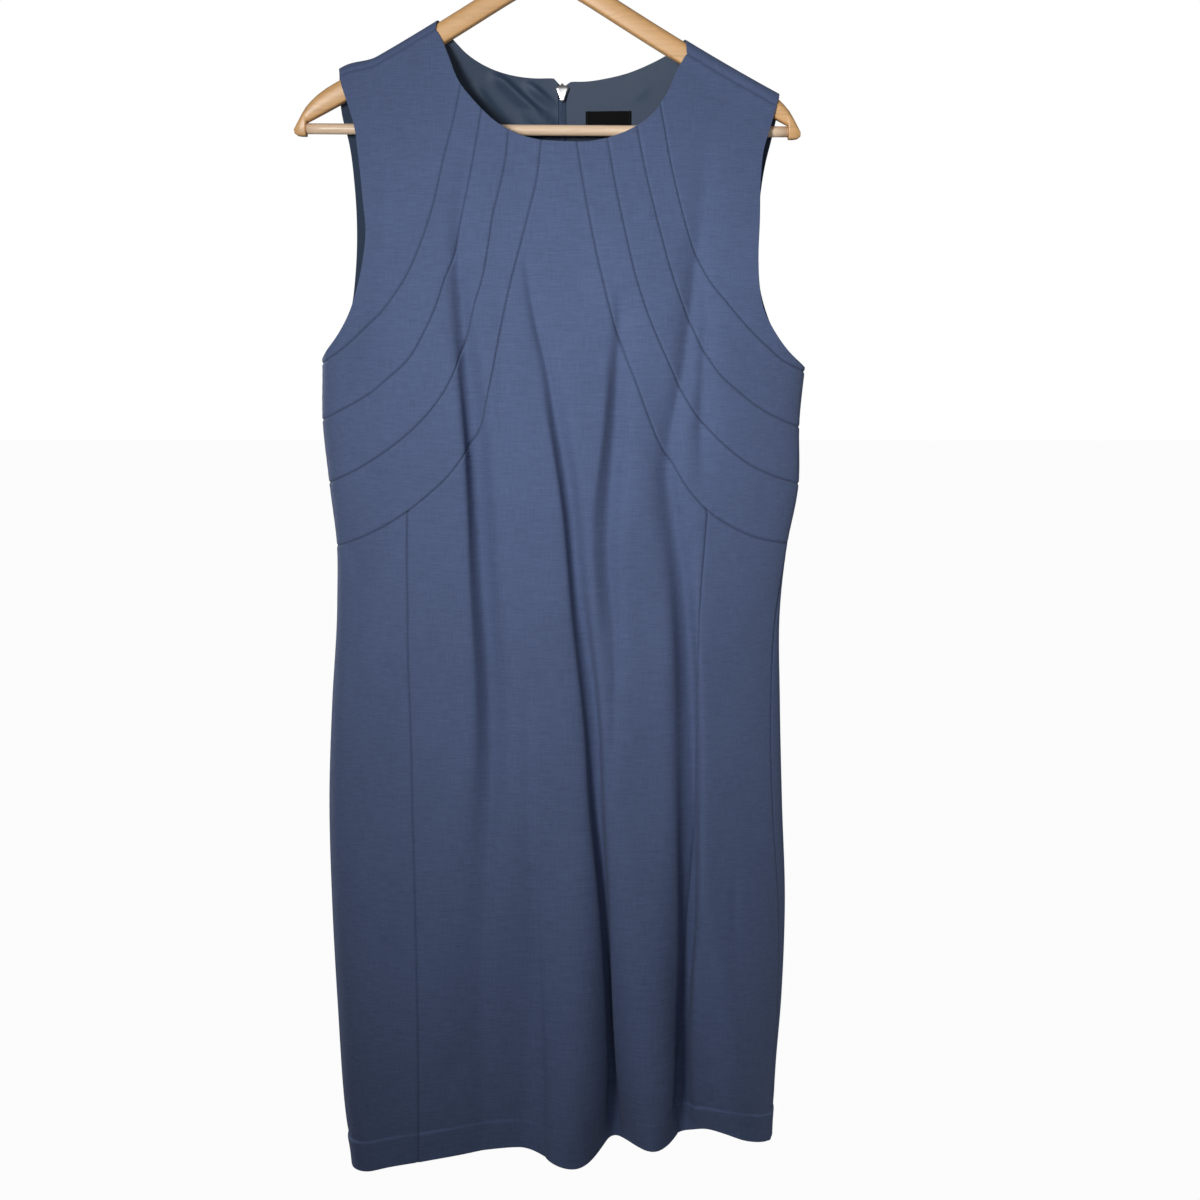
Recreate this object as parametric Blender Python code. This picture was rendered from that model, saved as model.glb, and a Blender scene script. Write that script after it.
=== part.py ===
"""A sleeveless sheath dress hanging on a wooden hanger, as closed solids.

Metres, +Z up, the front of the dress towards -Y, the hook's inner top at the origin.
Tables are in millimetres. "left" is the -X side and "right" the +X side.
The cloth is one surface with two coordinates: the angle round the body (0 at the front
centre, 90 degrees at the right side, 180 at the back centre) and the height. Above the
hanger's arm the height runs on over the arm, so the back panel wraps forward to the
shoulder seam. Every panel is a patch between shared seam curves on that surface.
"""

import math

import bpy
import numpy as np

MM = 0.001
WALL = 1.5 * MM  # cloth of the dress
SEAM_INSET = 0.15 * MM  # each panel's edge stays this far from the seam line
LINING_WALL = 1.0 * MM
LAYER_GAP = 0.3 * MM

# The hanger: its arms' upper line falls from the apex to the tips, and it hangs slightly
# lower on the right.
HANGER_HALF = 222.5 * MM  # to where the arms' lines would end; the tips are rounded off
ARM_TIP_Z = -206.5 * MM
ARM_SLOPE = 0.50
ARM_CURVE = 0.4  # extra slope per metre towards the apex
ARM_APEX_ROUND = 15 * MM
HANGER_TILT = 0.0064
ARM_HALF_THICK = 5.9 * MM
ARM_TOP_RISE = 6.4 * MM
ARM_BELOW = 14.0 * MM
BAR_RADIUS = 4.6 * MM
BAR_Z = -228.5 * MM
BAR_END = 207.7 * MM
HOOK_WIRE = 2.0 * MM
HOOK_RADIUS = 22.0 * MM

# The cloth's bend over the arm: half width, half height, and the length of cloth in it.
WRAP_Y = 7.5 * MM
WRAP_Z = 8.0 * MM
WRAP_LENGTH = 25.0 * MM
DRAPE_START = 70 * MM  # how far below the arm the dress reaches its full depth
TIP_LIFT = 4 * MM
TIP_LIFT_FROM = 145 * MM
TIP_LIFT_RUN = 30 * MM

# Level sections: z, left edge x, right edge x, depth in front, depth behind, roundness
# of the sides (0 is open at the armholes).
SECTION = (
    (-100, -198, 225, 20, 20, 0.00),
    (-210, -198, 225, 25, 23, 0.00),
    (-250, -198, 225, 29, 27, 0.12),
    (-300, -198, 225, 33, 30, 0.27),
    (-360, -198, 225, 37, 33, 0.46),
    (-425, -198, 225, 40, 36, 0.66),
    (-476, -199, 221, 40, 37, 0.70),
    (-533, -194, 221, 39, 38, 0.70),
    (-588, -189, 212, 39, 38, 0.70),
    (-642, -190, 207, 41, 39, 0.70),
    (-727, -196, 208, 45, 41, 0.70),
    (-820, -200, 211, 51, 43, 0.70),
    (-915, -198, 215, 58, 45, 0.70),
    (-1003, -193, 213, 64, 48, 0.70),
    (-1076, -187, 208, 68, 51, 0.70),
    (-1140, -179, 206, 71, 54, 0.70),
    (-1200, -175, 206, 73, 56, 0.70),
)
# How far the sides swing forward: z, left side y, right side y.
SWING = (
    (-700, 0, 0),
    (-850, -6, 0),
    (-1000, -26, 0),
    (-1140, -52, -4),
    (-1200, -56, -4),
)
# The right side seam lies in front of the edge: z, angle ahead of it in degrees.
SEAM_FORWARD = (
    (-430, 0),
    (-560, 2),
    (-640, 12),
    (-1000, 15),
    (-1200, 13),
)
# Folds: z, x of the bottom, width on its left, width on its right, depth (minus: ridge).
FOLDS_FRONT = (
    (
        (-330, -78, 8, 10, 0),
        (-390, -74, 8, 12, 3),
        (-490, -67, 8, 14, 6),
        (-610, -66, 9, 16, 6),
        (-750, -60, 11, 18, 5),
        (-900, -54, 14, 24, 0),
    ),
    (
        (-350, -17, 10, 12, 0),
        (-450, -2, 12, 14, 3),
        (-550, 15, 12, 16, 6),
        (-670, 26, 14, 18, 9),
        (-810, 42, 17, 20, 14),
        (-900, 49, 19, 22, 22),
        (-1020, 54, 20, 24, 38),
        (-1140, 58, 20, 24, 56),
        (-1200, 59, 20, 24, 60),
    ),
    (
        (-400, 56, 10, 10, 0),
        (-490, 48, 10, 12, 4),
        (-560, 40, 10, 12, 5),
        (-640, 46, 12, 12, 3),
        (-700, 50, 12, 12, 0),
    ),
    (
        (-430, 96, 14, 10, 0),
        (-505, 101, 14, 10, 3),
        (-590, 111, 14, 12, 6),
        (-690, 118, 16, 14, 9),
        (-780, 119, 18, 16, 11),
        (-860, 119, 20, 18, 17),
        (-980, 120, 22, 28, 32),
        (-1110, 128, 24, 38, 56),
        (-1200, 130, 24, 42, 62),
    ),
    (
        (-820, -10, 40, 24, 0),
        (-900, -16, 50, 24, 6),
        (-1020, -22, 70, 25, 18),
        (-1140, -28, 92, 26, 32),
        (-1200, -30, 95, 26, 34),
    ),
)
FOLDS_BACK = (
    (
        (-260, -50, 14, 12, 0),
        (-420, -62, 14, 16, 4),
        (-620, -70, 16, 18, 6),
        (-860, -78, 20, 22, 9),
        (-1140, -92, 26, 26, 24),
        (-1200, -94, 26, 26, 26),
    ),
    (
        (-300, 84, 14, 12, 0),
        (-480, 76, 14, 14, 5),
        (-700, 84, 18, 18, 7),
        (-940, 96, 22, 22, 14),
        (-1140, 104, 26, 26, 26),
        (-1200, 106, 26, 26, 28),
    ),
    (
        (-700, 16, 24, 24, 0),
        (-900, 14, 26, 26, 6),
        (-1140, 8, 30, 30, 18),
        (-1200, 8, 30, 30, 20),
    ),
)

# Edges and seams of the front: x, z.
NECK_FRONT = (
    (-94.5, -144.5), (-90, -152), (-84, -166), (-75, -188), (-61, -206), (-39, -226),
    (-26, -233), (-10, -238), (13, -240), (35, -240), (55, -236), (68, -231),
    (88, -218), (102, -199), (112, -177), (116, -170), (119.5, -164.5),
)
ARMHOLE_FRONT_LEFT = (
    (-177, -188), (-172, -203), (-165, -225), (-161, -251), (-157, -290), (-155, -314),
    (-159, -345), (-164, -365), (-172, -386), (-183, -404), (-193, -416), (-198, -423),
)
ARMHOLE_FRONT_RIGHT = (
    (197, -207), (194, -218), (190, -231), (186, -244), (183, -268), (182, -306),
    (181, -338), (182, -358), (186, -380), (196, -399), (209, -416), (225, -430),
)
SEAMS_LEFT = (
    ((-73, -190), (-79, -222), (-87, -253), (-96, -292), (-106, -322), (-122, -356),
     (-138, -377), (-157, -396), (-175, -412), (-198, -427)),
    ((-55, -213), (-62, -253), (-67, -277), (-74, -308), (-80, -339), (-87, -356),
     (-95, -379), (-106, -402), (-119, -423), (-137, -439), (-156, -453), (-173, -463),
     (-199, -476)),
    ((-32, -231), (-34, -253), (-39, -277), (-45, -300), (-50, -331), (-55, -356),
     (-62, -376), (-69, -400), (-77, -428), (-88, -450), (-104, -471), (-123, -489),
     (-142, -503), (-163, -516), (-194, -531)),
    ((-4, -239), (-9, -277), (-15, -300), (-22, -327), (-30, -356), (-36, -381),
     (-42, -410), (-47, -435), (-53, -458), (-61, -482), (-72, -504), (-85, -522),
     (-103, -539), (-122, -554), (-139, -565), (-163, -577), (-189, -587)),
)
SEAMS_RIGHT = (
    ((97, -207), (101, -230), (105, -253), (112, -284), (120, -313), (128, -335),
     (139, -356), (157, -378), (172, -395), (190, -412), (206, -425), (225, -434)),
    ((77, -226), (82, -253), (89, -284), (97, -315), (109, -356), (118, -379),
     (128, -402), (137, -419), (149, -436), (166, -451), (183, -464), (201, -474),
     (221, -482)),
    ((52, -237), (59, -277), (67, -315), (77, -356), (87, -386), (98, -412),
     (109, -435), (121, -459), (137, -480), (160, -502), (180, -516), (198, -524),
     (221, -532)),
    ((26, -240), (32, -277), (39, -315), (48, -356), (57, -390), (67, -420),
     (77, -444), (86, -468), (97, -494), (111, -518), (125, -538), (139, -553),
     (158, -566), (181, -577), (212, -585)),
)
PRINCESS_LEFT = (
    (-122, -554), (-123, -590), (-123, -640), (-123, -687), (-121, -751), (-120, -811),
    (-117, -938), (-115, -1055), (-115, -1142),
)
PRINCESS_RIGHT = (
    (139, -553), (137, -580), (134, -623), (131, -687), (130, -750), (128, -810),
    (122, -937), (120, -1060), (120, -1142),
)
JOIN_LEFT = 13  # which row of the last seam the princess seam starts at
JOIN_RIGHT = 11
HEM_FRONT = (
    (-179, -1140), (-162, -1137), (-143, -1131), (-105, -1126), (-74, -1125), (-25, -1126),
    (-5, -1129), (9, -1133), (30, -1136), (45, -1135), (56, -1132), (80, -1128),
    (101, -1129), (128, -1125), (144, -1121), (161, -1122), (177, -1127), (192, -1132),
    (203, -1136),
)
HEM_BACK_Z = -1140 * MM

# Edges of the back: x, z, with the neck's bend over the arm given in shares of the wrap.
NECK_BACK_LEFT = (
    (-81, -150), (-70, -161), (-50, -172.5), (-31, -178), (-15, -180), (5, -180),
)
NECK_BACK_RIGHT = (
    (101, -164), (86, -171), (69, -177), (50, -181), (34, -183), (20, -183),
)
NOTCH = (12.5, -188)
NECK_OVER_LEFT = ((-94.5, 1.0), (-93.0, 0.5), (-89.0, 0.0))
NECK_OVER_RIGHT = ((119.5, 1.14), (118, 0.5), (113, 0.0))
ARMHOLE_OVER_LEFT = ((-177, 1.0), (-179, 0.5), (-180, 0.0))
ARMHOLE_OVER_RIGHT = ((197, 1.14), (200, 0.5), (200, 0.0))
ARMHOLE_BACK_LEFT = (
    (-179, -212), (-174, -236), (-171, -270), (-170, -302), (-172, -345), (-177, -380),
    (-186, -407), (-198, -423),
)
ARMHOLE_BACK_RIGHT = (
    (196, -228), (190, -255), (186, -290), (185, -330), (190, -368), (202, -400),
    (213, -418), (225, -430),
)

# Cells of the patches.
SEAM_CELLS = (13, 5)  # along a front seam, above and below the princess seam's start
SKIRT_CELLS = 15
CENTRE_CELLS = 22
BAND_CELLS = 3
YOKE_CELLS = 5
SHOULDER_CELLS = 6
ARMHOLE_CELLS = 13
WRAP_CELLS = 6
BACK_SHOULDER_CELLS = 6
BACK_NECK_OVER_CELLS = 5
BACK_NECK_CELLS = 5

# Trims.
LINING_CENTRE_GAP = 3.4 * MM  # the lining's edge from the centre back
LINING_TOP_SHARE = 0.2  # of the back panel's first row
LINING_ROWS = 9
TAPE_TOP_SHARE = 0.6
TAPE_HALF = 3.0 * MM
TAPE_WALL = 0.8 * MM
LABEL_X = (33, 73)
LABEL_ROWS = (4.4, 5, 6, 6.55)  # rows of the back panel from its top to its bottom
LABEL_WALL = 0.6 * MM
PULL_LENGTH = 22 * MM
PULL_WIDTH = 5.6 * MM
PULL_WALL = 1.0 * MM


# Materials


def cloth_material(name, colour, roughness, metallic=0.0):
    material = bpy.data.materials.new(name)
    material.use_nodes = True
    shader = material.node_tree.nodes["Principled BSDF"]
    shader.inputs["Base Color"].default_value = (*colour, 1)
    shader.inputs["Roughness"].default_value = roughness
    shader.inputs["Metallic"].default_value = metallic
    return material


def dress_cloth(name):
    return cloth_material(name + "_cloth", (0.088, 0.122, 0.226), 0.9)


# Curves


def hermite(at, knots, values):
    """A smooth curve through (knots, values), read at the given places."""
    knots = np.asarray(knots, float)
    values = np.asarray(values, float)
    steps = np.diff(knots)
    slopes = np.diff(values) / steps
    tangents = np.empty_like(values)
    tangents[0], tangents[-1] = slopes[0], slopes[-1]
    weights = steps[1:] + steps[:-1]
    tangents[1:-1] = (slopes[:-1] * steps[1:] + slopes[1:] * steps[:-1]) / weights
    at = np.clip(at, knots[0], knots[-1])
    i = np.clip(np.searchsorted(knots, at, side="right") - 1, 0, len(steps) - 1)
    h = steps[i]
    t = (at - knots[i]) / h
    first = (1 + 2 * t) * (1 - t) ** 2 * values[i] + t * (1 - t) ** 2 * h * tangents[i]
    return first + t**2 * (3 - 2 * t) * values[i + 1] + t**2 * (t - 1) * h * tangents[i + 1]


def from_table(table, column, z):
    rows = np.array(table, float)[::-1] * MM
    return hermite(z, rows[:, 0], rows[:, column])


def through(points, count=160):
    """A dense smooth curve through points given in millimetres."""
    points = np.array(points, float) * MM
    along = np.concatenate([[0], np.cumsum(np.linalg.norm(np.diff(points, axis=0), axis=1))])
    at = np.linspace(0, along[-1], count)
    return np.stack([hermite(at, along, points[:, k]) for k in (0, 1)], axis=1)


# The cloth's surface


def arm_line(x):
    """The height of the cloth's bend over the arm: the centre of its half ellipse."""
    down = HANGER_HALF - np.sqrt(x**2 + ARM_APEX_ROUND**2)
    top = ARM_TIP_Z + ARM_SLOPE * down + ARM_CURVE * down**2 - HANGER_TILT * x
    return top - WRAP_Z - WALL / 2


def shoulder_line(x):
    """The same line for the cloth, which stands off the arm at the left tip."""
    share = np.clip((-x - TIP_LIFT_FROM) / TIP_LIFT_RUN, 0, 1)
    return arm_line(x) + TIP_LIFT * share**2 * (3 - 2 * share)


def edges_at(z):
    """The middle and half width of the section."""
    left, right = (from_table(SECTION, k, z) for k in (1, 2))
    return (left + right) / 2, (right - left) / 2


def angle_of(x, z, behind=False):
    """The angle round the body of a point of the front or the back."""
    middle, half = edges_at(z)
    angle = np.arcsin(np.clip((x - middle) / half, -1, 1))
    return math.pi - angle if behind else angle


def fold_depth(folds, x, z):
    """How far folds push the cloth in from its plain surface."""
    total = np.zeros_like(x)
    for fold in folds:
        rows = np.array(fold, float)[::-1] * MM
        inside = (z > rows[0, 0]) & (z < rows[-1, 0])
        middle, left, right, depth = (hermite(z, rows[:, 0], rows[:, k]) for k in (1, 2, 3, 4))
        away = (x - middle) / np.where(x < middle, left, right)
        total += np.where(inside, depth, 0) * np.exp(-(away**2))
    return total


def surface(angle, height):
    """Points of the cloth's middle layer."""
    angle, height = np.broadcast_arrays(np.asarray(angle, float), np.asarray(height, float))
    middle, half = edges_at(height)
    x = middle + half * np.sin(angle)
    bend = shoulder_line(x)
    behind = np.cos(angle) < 0
    over = behind & (height > bend)
    round_arm = (height - bend) / WRAP_LENGTH * math.pi
    past = over & (round_arm > math.pi)
    z = np.where(past, 2 * bend + WRAP_LENGTH - height, np.minimum(height, bend))
    below = bend - z
    grown = below**2 / (below**2 + DRAPE_START**2)
    in_front = ~behind | past
    plain = np.where(in_front, from_table(SECTION, 3, z), from_table(SECTION, 4, z))
    roundness = from_table(SECTION, 5, z) / MM
    profile = np.abs(np.cos(angle)) ** np.maximum(roundness, 0)
    facing = np.where(in_front, -1.0, 1.0)
    depth = (WRAP_Y + plain * grown) * profile
    calm = np.cos(angle) ** 2 * grown
    folds = np.where(in_front, fold_depth(FOLDS_FRONT, x, z), fold_depth(FOLDS_BACK, x, z))
    y = facing * (depth - folds * calm)
    share = (x - middle) / half
    y = y + from_table(SWING, 1, z) * ((1 - share) / 2) ** 2
    y = y + from_table(SWING, 2, z) * ((1 + share) / 2) ** 2
    bent = over & ~past
    y = np.where(bent, WRAP_Y * np.cos(round_arm), y)
    z = np.where(bent, bend + WRAP_Z * np.sin(round_arm), z)
    return np.stack([x, y, z], axis=-1)


def normals(angle, height):
    """Outward normals of the surface."""
    step_a, step_h = 0.004, 0.4 * MM
    across = surface(angle + step_a, height) - surface(angle - step_a, height)
    up = surface(angle, height + step_h) - surface(angle, height - step_h)
    normal = np.cross(across, up)
    return normal / np.linalg.norm(normal, axis=-1, keepdims=True)


def plan(points, behind=False):
    """(angle, height) of points given as x and z, in metres."""
    return np.stack([angle_of(points[:, 0], points[:, 1], behind), points[:, 1]], axis=1)


def evenly(curve, cells):
    """The plan curve again, with cells + 1 points evenly spaced on the cloth."""
    solid = surface(curve[:, 0], curve[:, 1])
    along = np.concatenate([[0], np.cumsum(np.linalg.norm(np.diff(solid, axis=0), axis=1))])
    at = np.linspace(0, along[-1], cells + 1)
    return np.stack([np.interp(at, along, curve[:, k]) for k in (0, 1)], axis=1)


def cut(curve, point):
    """The plan curve in two at its place nearest to a point."""
    i = int(np.argmin(np.linalg.norm((curve - point) * (0.2, 1), axis=1)))
    i = min(max(i, 1), len(curve) - 2)
    return curve[: i + 1], curve[i:]


def patch(top, bottom, left, right, weights=None):
    """A grid of plan points between four curves: rows from top to bottom.

    The weights say how much of the top's and of the bottom's shape each row has."""
    s = np.linspace(0, 1, len(top))[:, None]
    t = np.linspace(0, 1, len(left))
    upper, lower = (1 - t, t) if weights is None else weights
    bowed = [curve - (1 - s) * curve[0] - s * curve[-1] for curve in (top, bottom)]
    ruled = (1 - s) * left[:, None] + s * right[:, None]
    return ruled + upper[:, None, None] * bowed[0] + lower[:, None, None] * bowed[1]


# Solids


def inset(grid):
    """The grid with each edge moved in, square to the edge."""
    moved = grid.copy()
    for axis in (0, 1):
        g = np.swapaxes(grid, 0, axis)
        m = np.swapaxes(moved, 0, axis)
        for edge, inner in ((0, 1), (-1, -2)):
            along = np.gradient(g[edge], axis=0)
            along /= np.linalg.norm(along, axis=1, keepdims=True)
            inward = g[inner] - g[edge]
            inward -= (inward * along).sum(1, keepdims=True) * along
            m[edge] += SEAM_INSET * inward / np.linalg.norm(inward, axis=1, keepdims=True)
    return moved


def make_object(name, points, faces, material, smooth=True):
    mesh = bpy.data.meshes.new(name)
    mesh.from_pydata([tuple(p) for p in points], [], faces)
    mesh.materials.append(material)
    if smooth:
        mesh.shade_smooth()
    mesh.update()
    obj = bpy.data.objects.new(name, mesh)
    bpy.context.scene.collection.objects.link(obj)
    return obj


def grid_faces(rows, columns, flip):
    """Faces of a closed wall: its outer grid, its inner grid and the rim between them."""
    count = rows * columns
    faces = []
    for i in range(rows - 1):
        for j in range(columns - 1):
            a = i * columns + j
            corner = a + columns + 1
            for face in ((a, a + columns, a + 1), (a + 1, a + columns, corner)):
                faces.append(face)
                faces.append(tuple(count + k for k in reversed(face)))
    ring = list(range(columns))
    ring += [i * columns + columns - 1 for i in range(1, rows)]
    ring += [(rows - 1) * columns + j for j in range(columns - 2, -1, -1)]
    ring += [i * columns for i in range(rows - 2, 0, -1)]
    for a, b in zip(ring, ring[1:] + ring[:1]):
        faces.append((a, b, count + b, count + a))
    return [tuple(reversed(face)) for face in faces] if flip else faces


def cloth_solid(name, grid, material):
    """A closed wall of cloth on a grid of plan points."""
    middle = surface(grid[..., 0], grid[..., 1])
    return wall_solid(name, middle, normals(grid[..., 0], grid[..., 1]), material)


def wall_solid(name, middle, normal, material, wall=WALL, offset=0.0):
    """A closed wall on a grid of points and normals, moved out by the offset."""
    middle = inset(middle)
    outer = middle + (offset + wall / 2) * normal
    inner = middle + (offset - wall / 2) * normal
    rows, columns = middle.shape[:2]
    first = np.cross(middle[1, 0] - middle[0, 0], middle[0, 1] - middle[0, 0])
    flip = float(first @ normal[0, 0]) < 0
    points = np.concatenate([outer.reshape(-1, 3), inner.reshape(-1, 3)])
    return make_object(name, points, grid_faces(rows, columns, flip), material)


def ring_solid(name, rings, material, smooth=True):
    """A closed body through rings of points, with flat ends."""
    count = len(rings[0])
    points = np.concatenate(rings)
    faces = []
    for i in range(len(rings) - 1):
        for j in range(count):
            k = (j + 1) % count
            faces.append((i * count + j, i * count + k, (i + 1) * count + k, (i + 1) * count + j))
    faces.append(tuple(reversed(range(count))))
    faces.append(tuple((len(rings) - 1) * count + j for j in range(count)))
    centre = points.mean(axis=0)
    volume = 0.0
    for face in faces:
        for j in range(1, len(face) - 1):
            a, b, c = (points[face[k]] - centre for k in (0, j, j + 1))
            volume += float(a @ np.cross(b, c))
    if volume < 0:
        faces = [tuple(reversed(face)) for face in faces]
    return make_object(name, points, faces, material, smooth)


# Panels of the dress


def side_curve(side, z):
    """Plan points of a side seam at the given heights."""
    if side < 0:
        return np.stack([np.full_like(z, -math.pi / 2), z], axis=1)
    ahead = np.radians(from_table(SEAM_FORWARD, 1, z) / MM)
    return np.stack([math.pi / 2 - ahead, z], axis=1)


def on_side(side, points):
    """A seam's dense curve whose end lies exactly on the side seam."""
    points = [tuple(p) for p in points]
    z = points[-1][1] * MM
    angle = float(side_curve(side, np.array([z]))[0, 0])
    middle, half = edges_at(np.array([z]))
    points[-1] = (float(middle[0] + half[0] * math.sin(angle)) / MM, points[-1][1])
    curve = plan(through(points))
    curve[-1] = (angle, z)
    return curve


def front_curves():
    """Every seam and edge of the front, as plan curves sampled once and shared."""
    neck = plan(through(NECK_FRONT, 600))
    hem = plan(through(HEM_FRONT, 600))
    hem[0] = side_curve(-1, hem[:1, 1])[0]
    hem[-1] = side_curve(1, hem[-1:, 1])[0]
    curves = {}
    neck_cuts = []
    for side, seams, princess, join in (
        (-1, SEAMS_LEFT, PRINCESS_LEFT, JOIN_LEFT),
        (1, SEAMS_RIGHT, PRINCESS_RIGHT, JOIN_RIGHT),
    ):
        for number, points in enumerate(seams, 1):
            curve = on_side(side, points)
            start = neck[int(np.argmin(np.linalg.norm(neck - curve[0], axis=1)))]
            fade = np.linspace(1, 0, 40)[:, None] ** 2
            curve[:40] += fade * (start - curve[0])
            neck_cuts.append(start)
            if number < 4:
                curves[side, number] = evenly(curve, sum(SEAM_CELLS))
                continue
            joint = plan(np.array([points[join]], float) * MM)[0]
            upper, lower = cut(curve, joint)
            upper = evenly(upper, SEAM_CELLS[0])
            lower = evenly(lower, SEAM_CELLS[1])
            curves[side, 4] = np.concatenate([upper, lower[1:]])
            skirt = plan(through(princess))
            skirt[0] = upper[-1]
            end = hem[int(np.argmin(np.abs(hem[:, 0] - skirt[-1, 0])))]
            skirt[-1] = end
            curves[side, "princess"] = evenly(skirt, SKIRT_CELLS)
    curves["neck"] = split(neck, sorted(neck_cuts, key=lambda p: p[0]))
    hem_cuts = [curves[-1, "princess"][-1], curves[1, "princess"][-1]]
    curves["hem"] = split(hem, hem_cuts)
    return curves


def split(curve, points):
    """The curve in pieces between the given points of it."""
    pieces = []
    for point in points:
        i = int(np.argmin(np.linalg.norm(curve - point, axis=1)))
        pieces.append(curve[: i + 1])
        curve = curve[i:]
    return [*pieces, curve]


def shoulder_height(x):
    """The height of the shoulder seam, which lies in front of the arm."""
    low = 0.14 * WRAP_LENGTH * (x > 0)
    return shoulder_line(x) - low


def make_centre(curves):
    upper = SEAM_CELLS[0] + 1
    sides = [
        np.concatenate([curves[side, 4][:upper], curves[side, "princess"][1:]])
        for side in (-1, 1)
    ]
    top = evenly(curves["neck"][4], CENTRE_CELLS)
    bottom = evenly(curves["hem"][1], CENTRE_CELLS)
    cloth_solid("front_centre", patch(top, bottom, *sides), dress_cloth("front_centre"))


def side_piece(side, first, last, cells):
    """The side seam between two heights, as shared by the front and the back."""
    return side_curve(side, np.linspace(first, last, cells + 1))


def make_bands(curves, side, word):
    for number in (1, 2, 3):
        upper, lower = curves[side, number], curves[side, number + 1]
        place = 4 - number if side < 0 else 4 + number
        piece = curves["neck"][{-1: number, 1: 8 - number}[side]]
        top = evenly(piece, BAND_CELLS)
        if side > 0:
            top = top[::-1]
        end = side_piece(side, upper[-1, 1], lower[-1, 1], BAND_CELLS)
        name = f"front_band_{word}_{number}"
        cloth_solid(name, patch(top, end, upper, lower), dress_cloth(name))


def make_yoke(curves, side, word, armhole):
    seam = curves[side, 1]
    piece = curves["neck"][0] if side < 0 else curves["neck"][8][::-1]
    top = evenly(piece, YOKE_CELLS)
    edge = plan(through(armhole))
    edge[-1] = side_curve(side, edge[-1:, 1])[0]
    tip_x, neck_x = armhole[0][0] * MM, float(through(NECK_FRONT)[0 if side < 0 else -1, 0])
    x = np.linspace(neck_x, tip_x, 60)
    shoulder = plan(np.stack([x, shoulder_height(x)], axis=1))
    shoulder[0] = top[0]
    edge[0] = shoulder[-1]
    outer = np.concatenate(
        [
            evenly(shoulder, SHOULDER_CELLS)[:-1],
            evenly(edge, sum(SEAM_CELLS) - SHOULDER_CELLS),
        ]
    )
    bottom = side_piece(side, outer[-1, 1], seam[-1, 1], YOKE_CELLS)
    name = f"front_yoke_{word}"
    cloth_solid(name, patch(top, bottom, outer, seam), dress_cloth(name))


def make_skirt(curves, side, word):
    top = curves[side, 4][SEAM_CELLS[0] :]
    hem = curves["hem"][0][::-1] if side < 0 else curves["hem"][2]
    bottom = evenly(hem, SEAM_CELLS[1])
    end = side_piece(side, top[-1, 1], bottom[-1, 1], SKIRT_CELLS)
    name = f"front_skirt_{word}"
    grid = patch(top, bottom, curves[side, "princess"], end)
    cloth_solid(name, grid, dress_cloth(name))


def over_arm(points):
    """Points of the bend over the arm, from x and the share of the bend, in millimetres."""
    return [
        (x, float(shoulder_line(np.array([x * MM]))[0] + share * WRAP_LENGTH) / MM)
        for x, share in points
    ]


def back_grid(curves, side, centre_shares, armhole_over, armhole, neck_over, neck):
    """The back panel's grid: rows from the shoulder and neck down to the hem."""
    edge = plan(through(over_arm(armhole_over) + list(armhole), 400), behind=True)
    turn = 2 * math.pi if side < 0 else 0.0
    seam_side = side_curve(side, edge[-1:, 1])
    seam_side[:, 0] += turn
    edge[-1] = seam_side[0]
    bend_end = int(np.argmin(np.abs(edge[:, 1] - over_arm(armhole_over)[-1][1] * MM)))
    rows = [evenly(edge[: bend_end + 1], WRAP_CELLS)]
    rows.append(evenly(edge[bend_end:], ARMHOLE_CELLS - WRAP_CELLS)[1:])
    heights = [edge[-1, 1]] + [curves[side, k][-1, 1] for k in (1, 2, 3, 4)]
    side_rows = [side_piece(side, heights[0], heights[1], 1)[1:]]
    for a, b in zip(heights[1:], heights[2:]):
        side_rows.append(side_piece(side, a, b, BAND_CELLS)[1:])
    hem_end = curves["hem"][0][0, 1] if side < 0 else curves["hem"][2][-1, 1]
    side_rows.append(side_piece(side, heights[-1], hem_end, SKIRT_CELLS)[1:])
    side_rows = np.concatenate(side_rows)
    side_rows[:, 0] += turn
    outer = np.concatenate([*rows, side_rows])

    neck_plan = plan(through(over_arm(neck_over) + list(neck), 400), behind=True)
    neck_bend = int(np.argmin(np.abs(neck_plan[:, 1] - over_arm(neck_over)[-1][1] * MM)))
    notch = np.array(NOTCH, float) * MM
    foot = plan(notch[None], behind=True)[0]
    first_x, last_x = armhole_over[0][0] * MM, neck_over[0][0] * MM
    x = np.linspace(first_x, last_x, 60)
    share = armhole_over[0][1]
    shoulder = plan(np.stack([x, shoulder_line(x) + share * WRAP_LENGTH], axis=1), behind=True)
    shoulder[0], shoulder[-1] = outer[0], neck_plan[0]
    top = np.concatenate(
        [
            evenly(shoulder, BACK_SHOULDER_CELLS)[:-1],
            evenly(neck_plan[: neck_bend + 1], BACK_NECK_OVER_CELLS)[:-1],
            evenly(neck_plan[neck_bend:], BACK_NECK_CELLS),
            foot[None],
        ]
    )
    shares = row_shares(outer, centre_shares)
    z = foot[1] + (HEM_BACK_Z - foot[1]) * shares
    centre = np.stack([angle_of(np.full_like(z, notch[0]), z, behind=True), z], axis=1)
    s = np.linspace(0, 1, 200)
    hem_plan = outer[-1] + (centre[-1] - outer[-1]) * s[:, None]
    bottom = evenly(hem_plan, len(top) - 1)
    past_arm = np.clip((shares - shares[WRAP_CELLS]) / (1 - shares[WRAP_CELLS]), 0, 1)
    return patch(top, bottom, outer, centre, ((1 - past_arm) ** 6, past_arm))


def row_shares(outer, given):
    """How far down each row of the centre back lies: as the side's rows, or as given."""
    if given is not None:
        return given
    down = np.concatenate([[0], np.cumsum(np.abs(np.diff(outer[:, 1])))])
    return down / down[-1]


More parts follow.
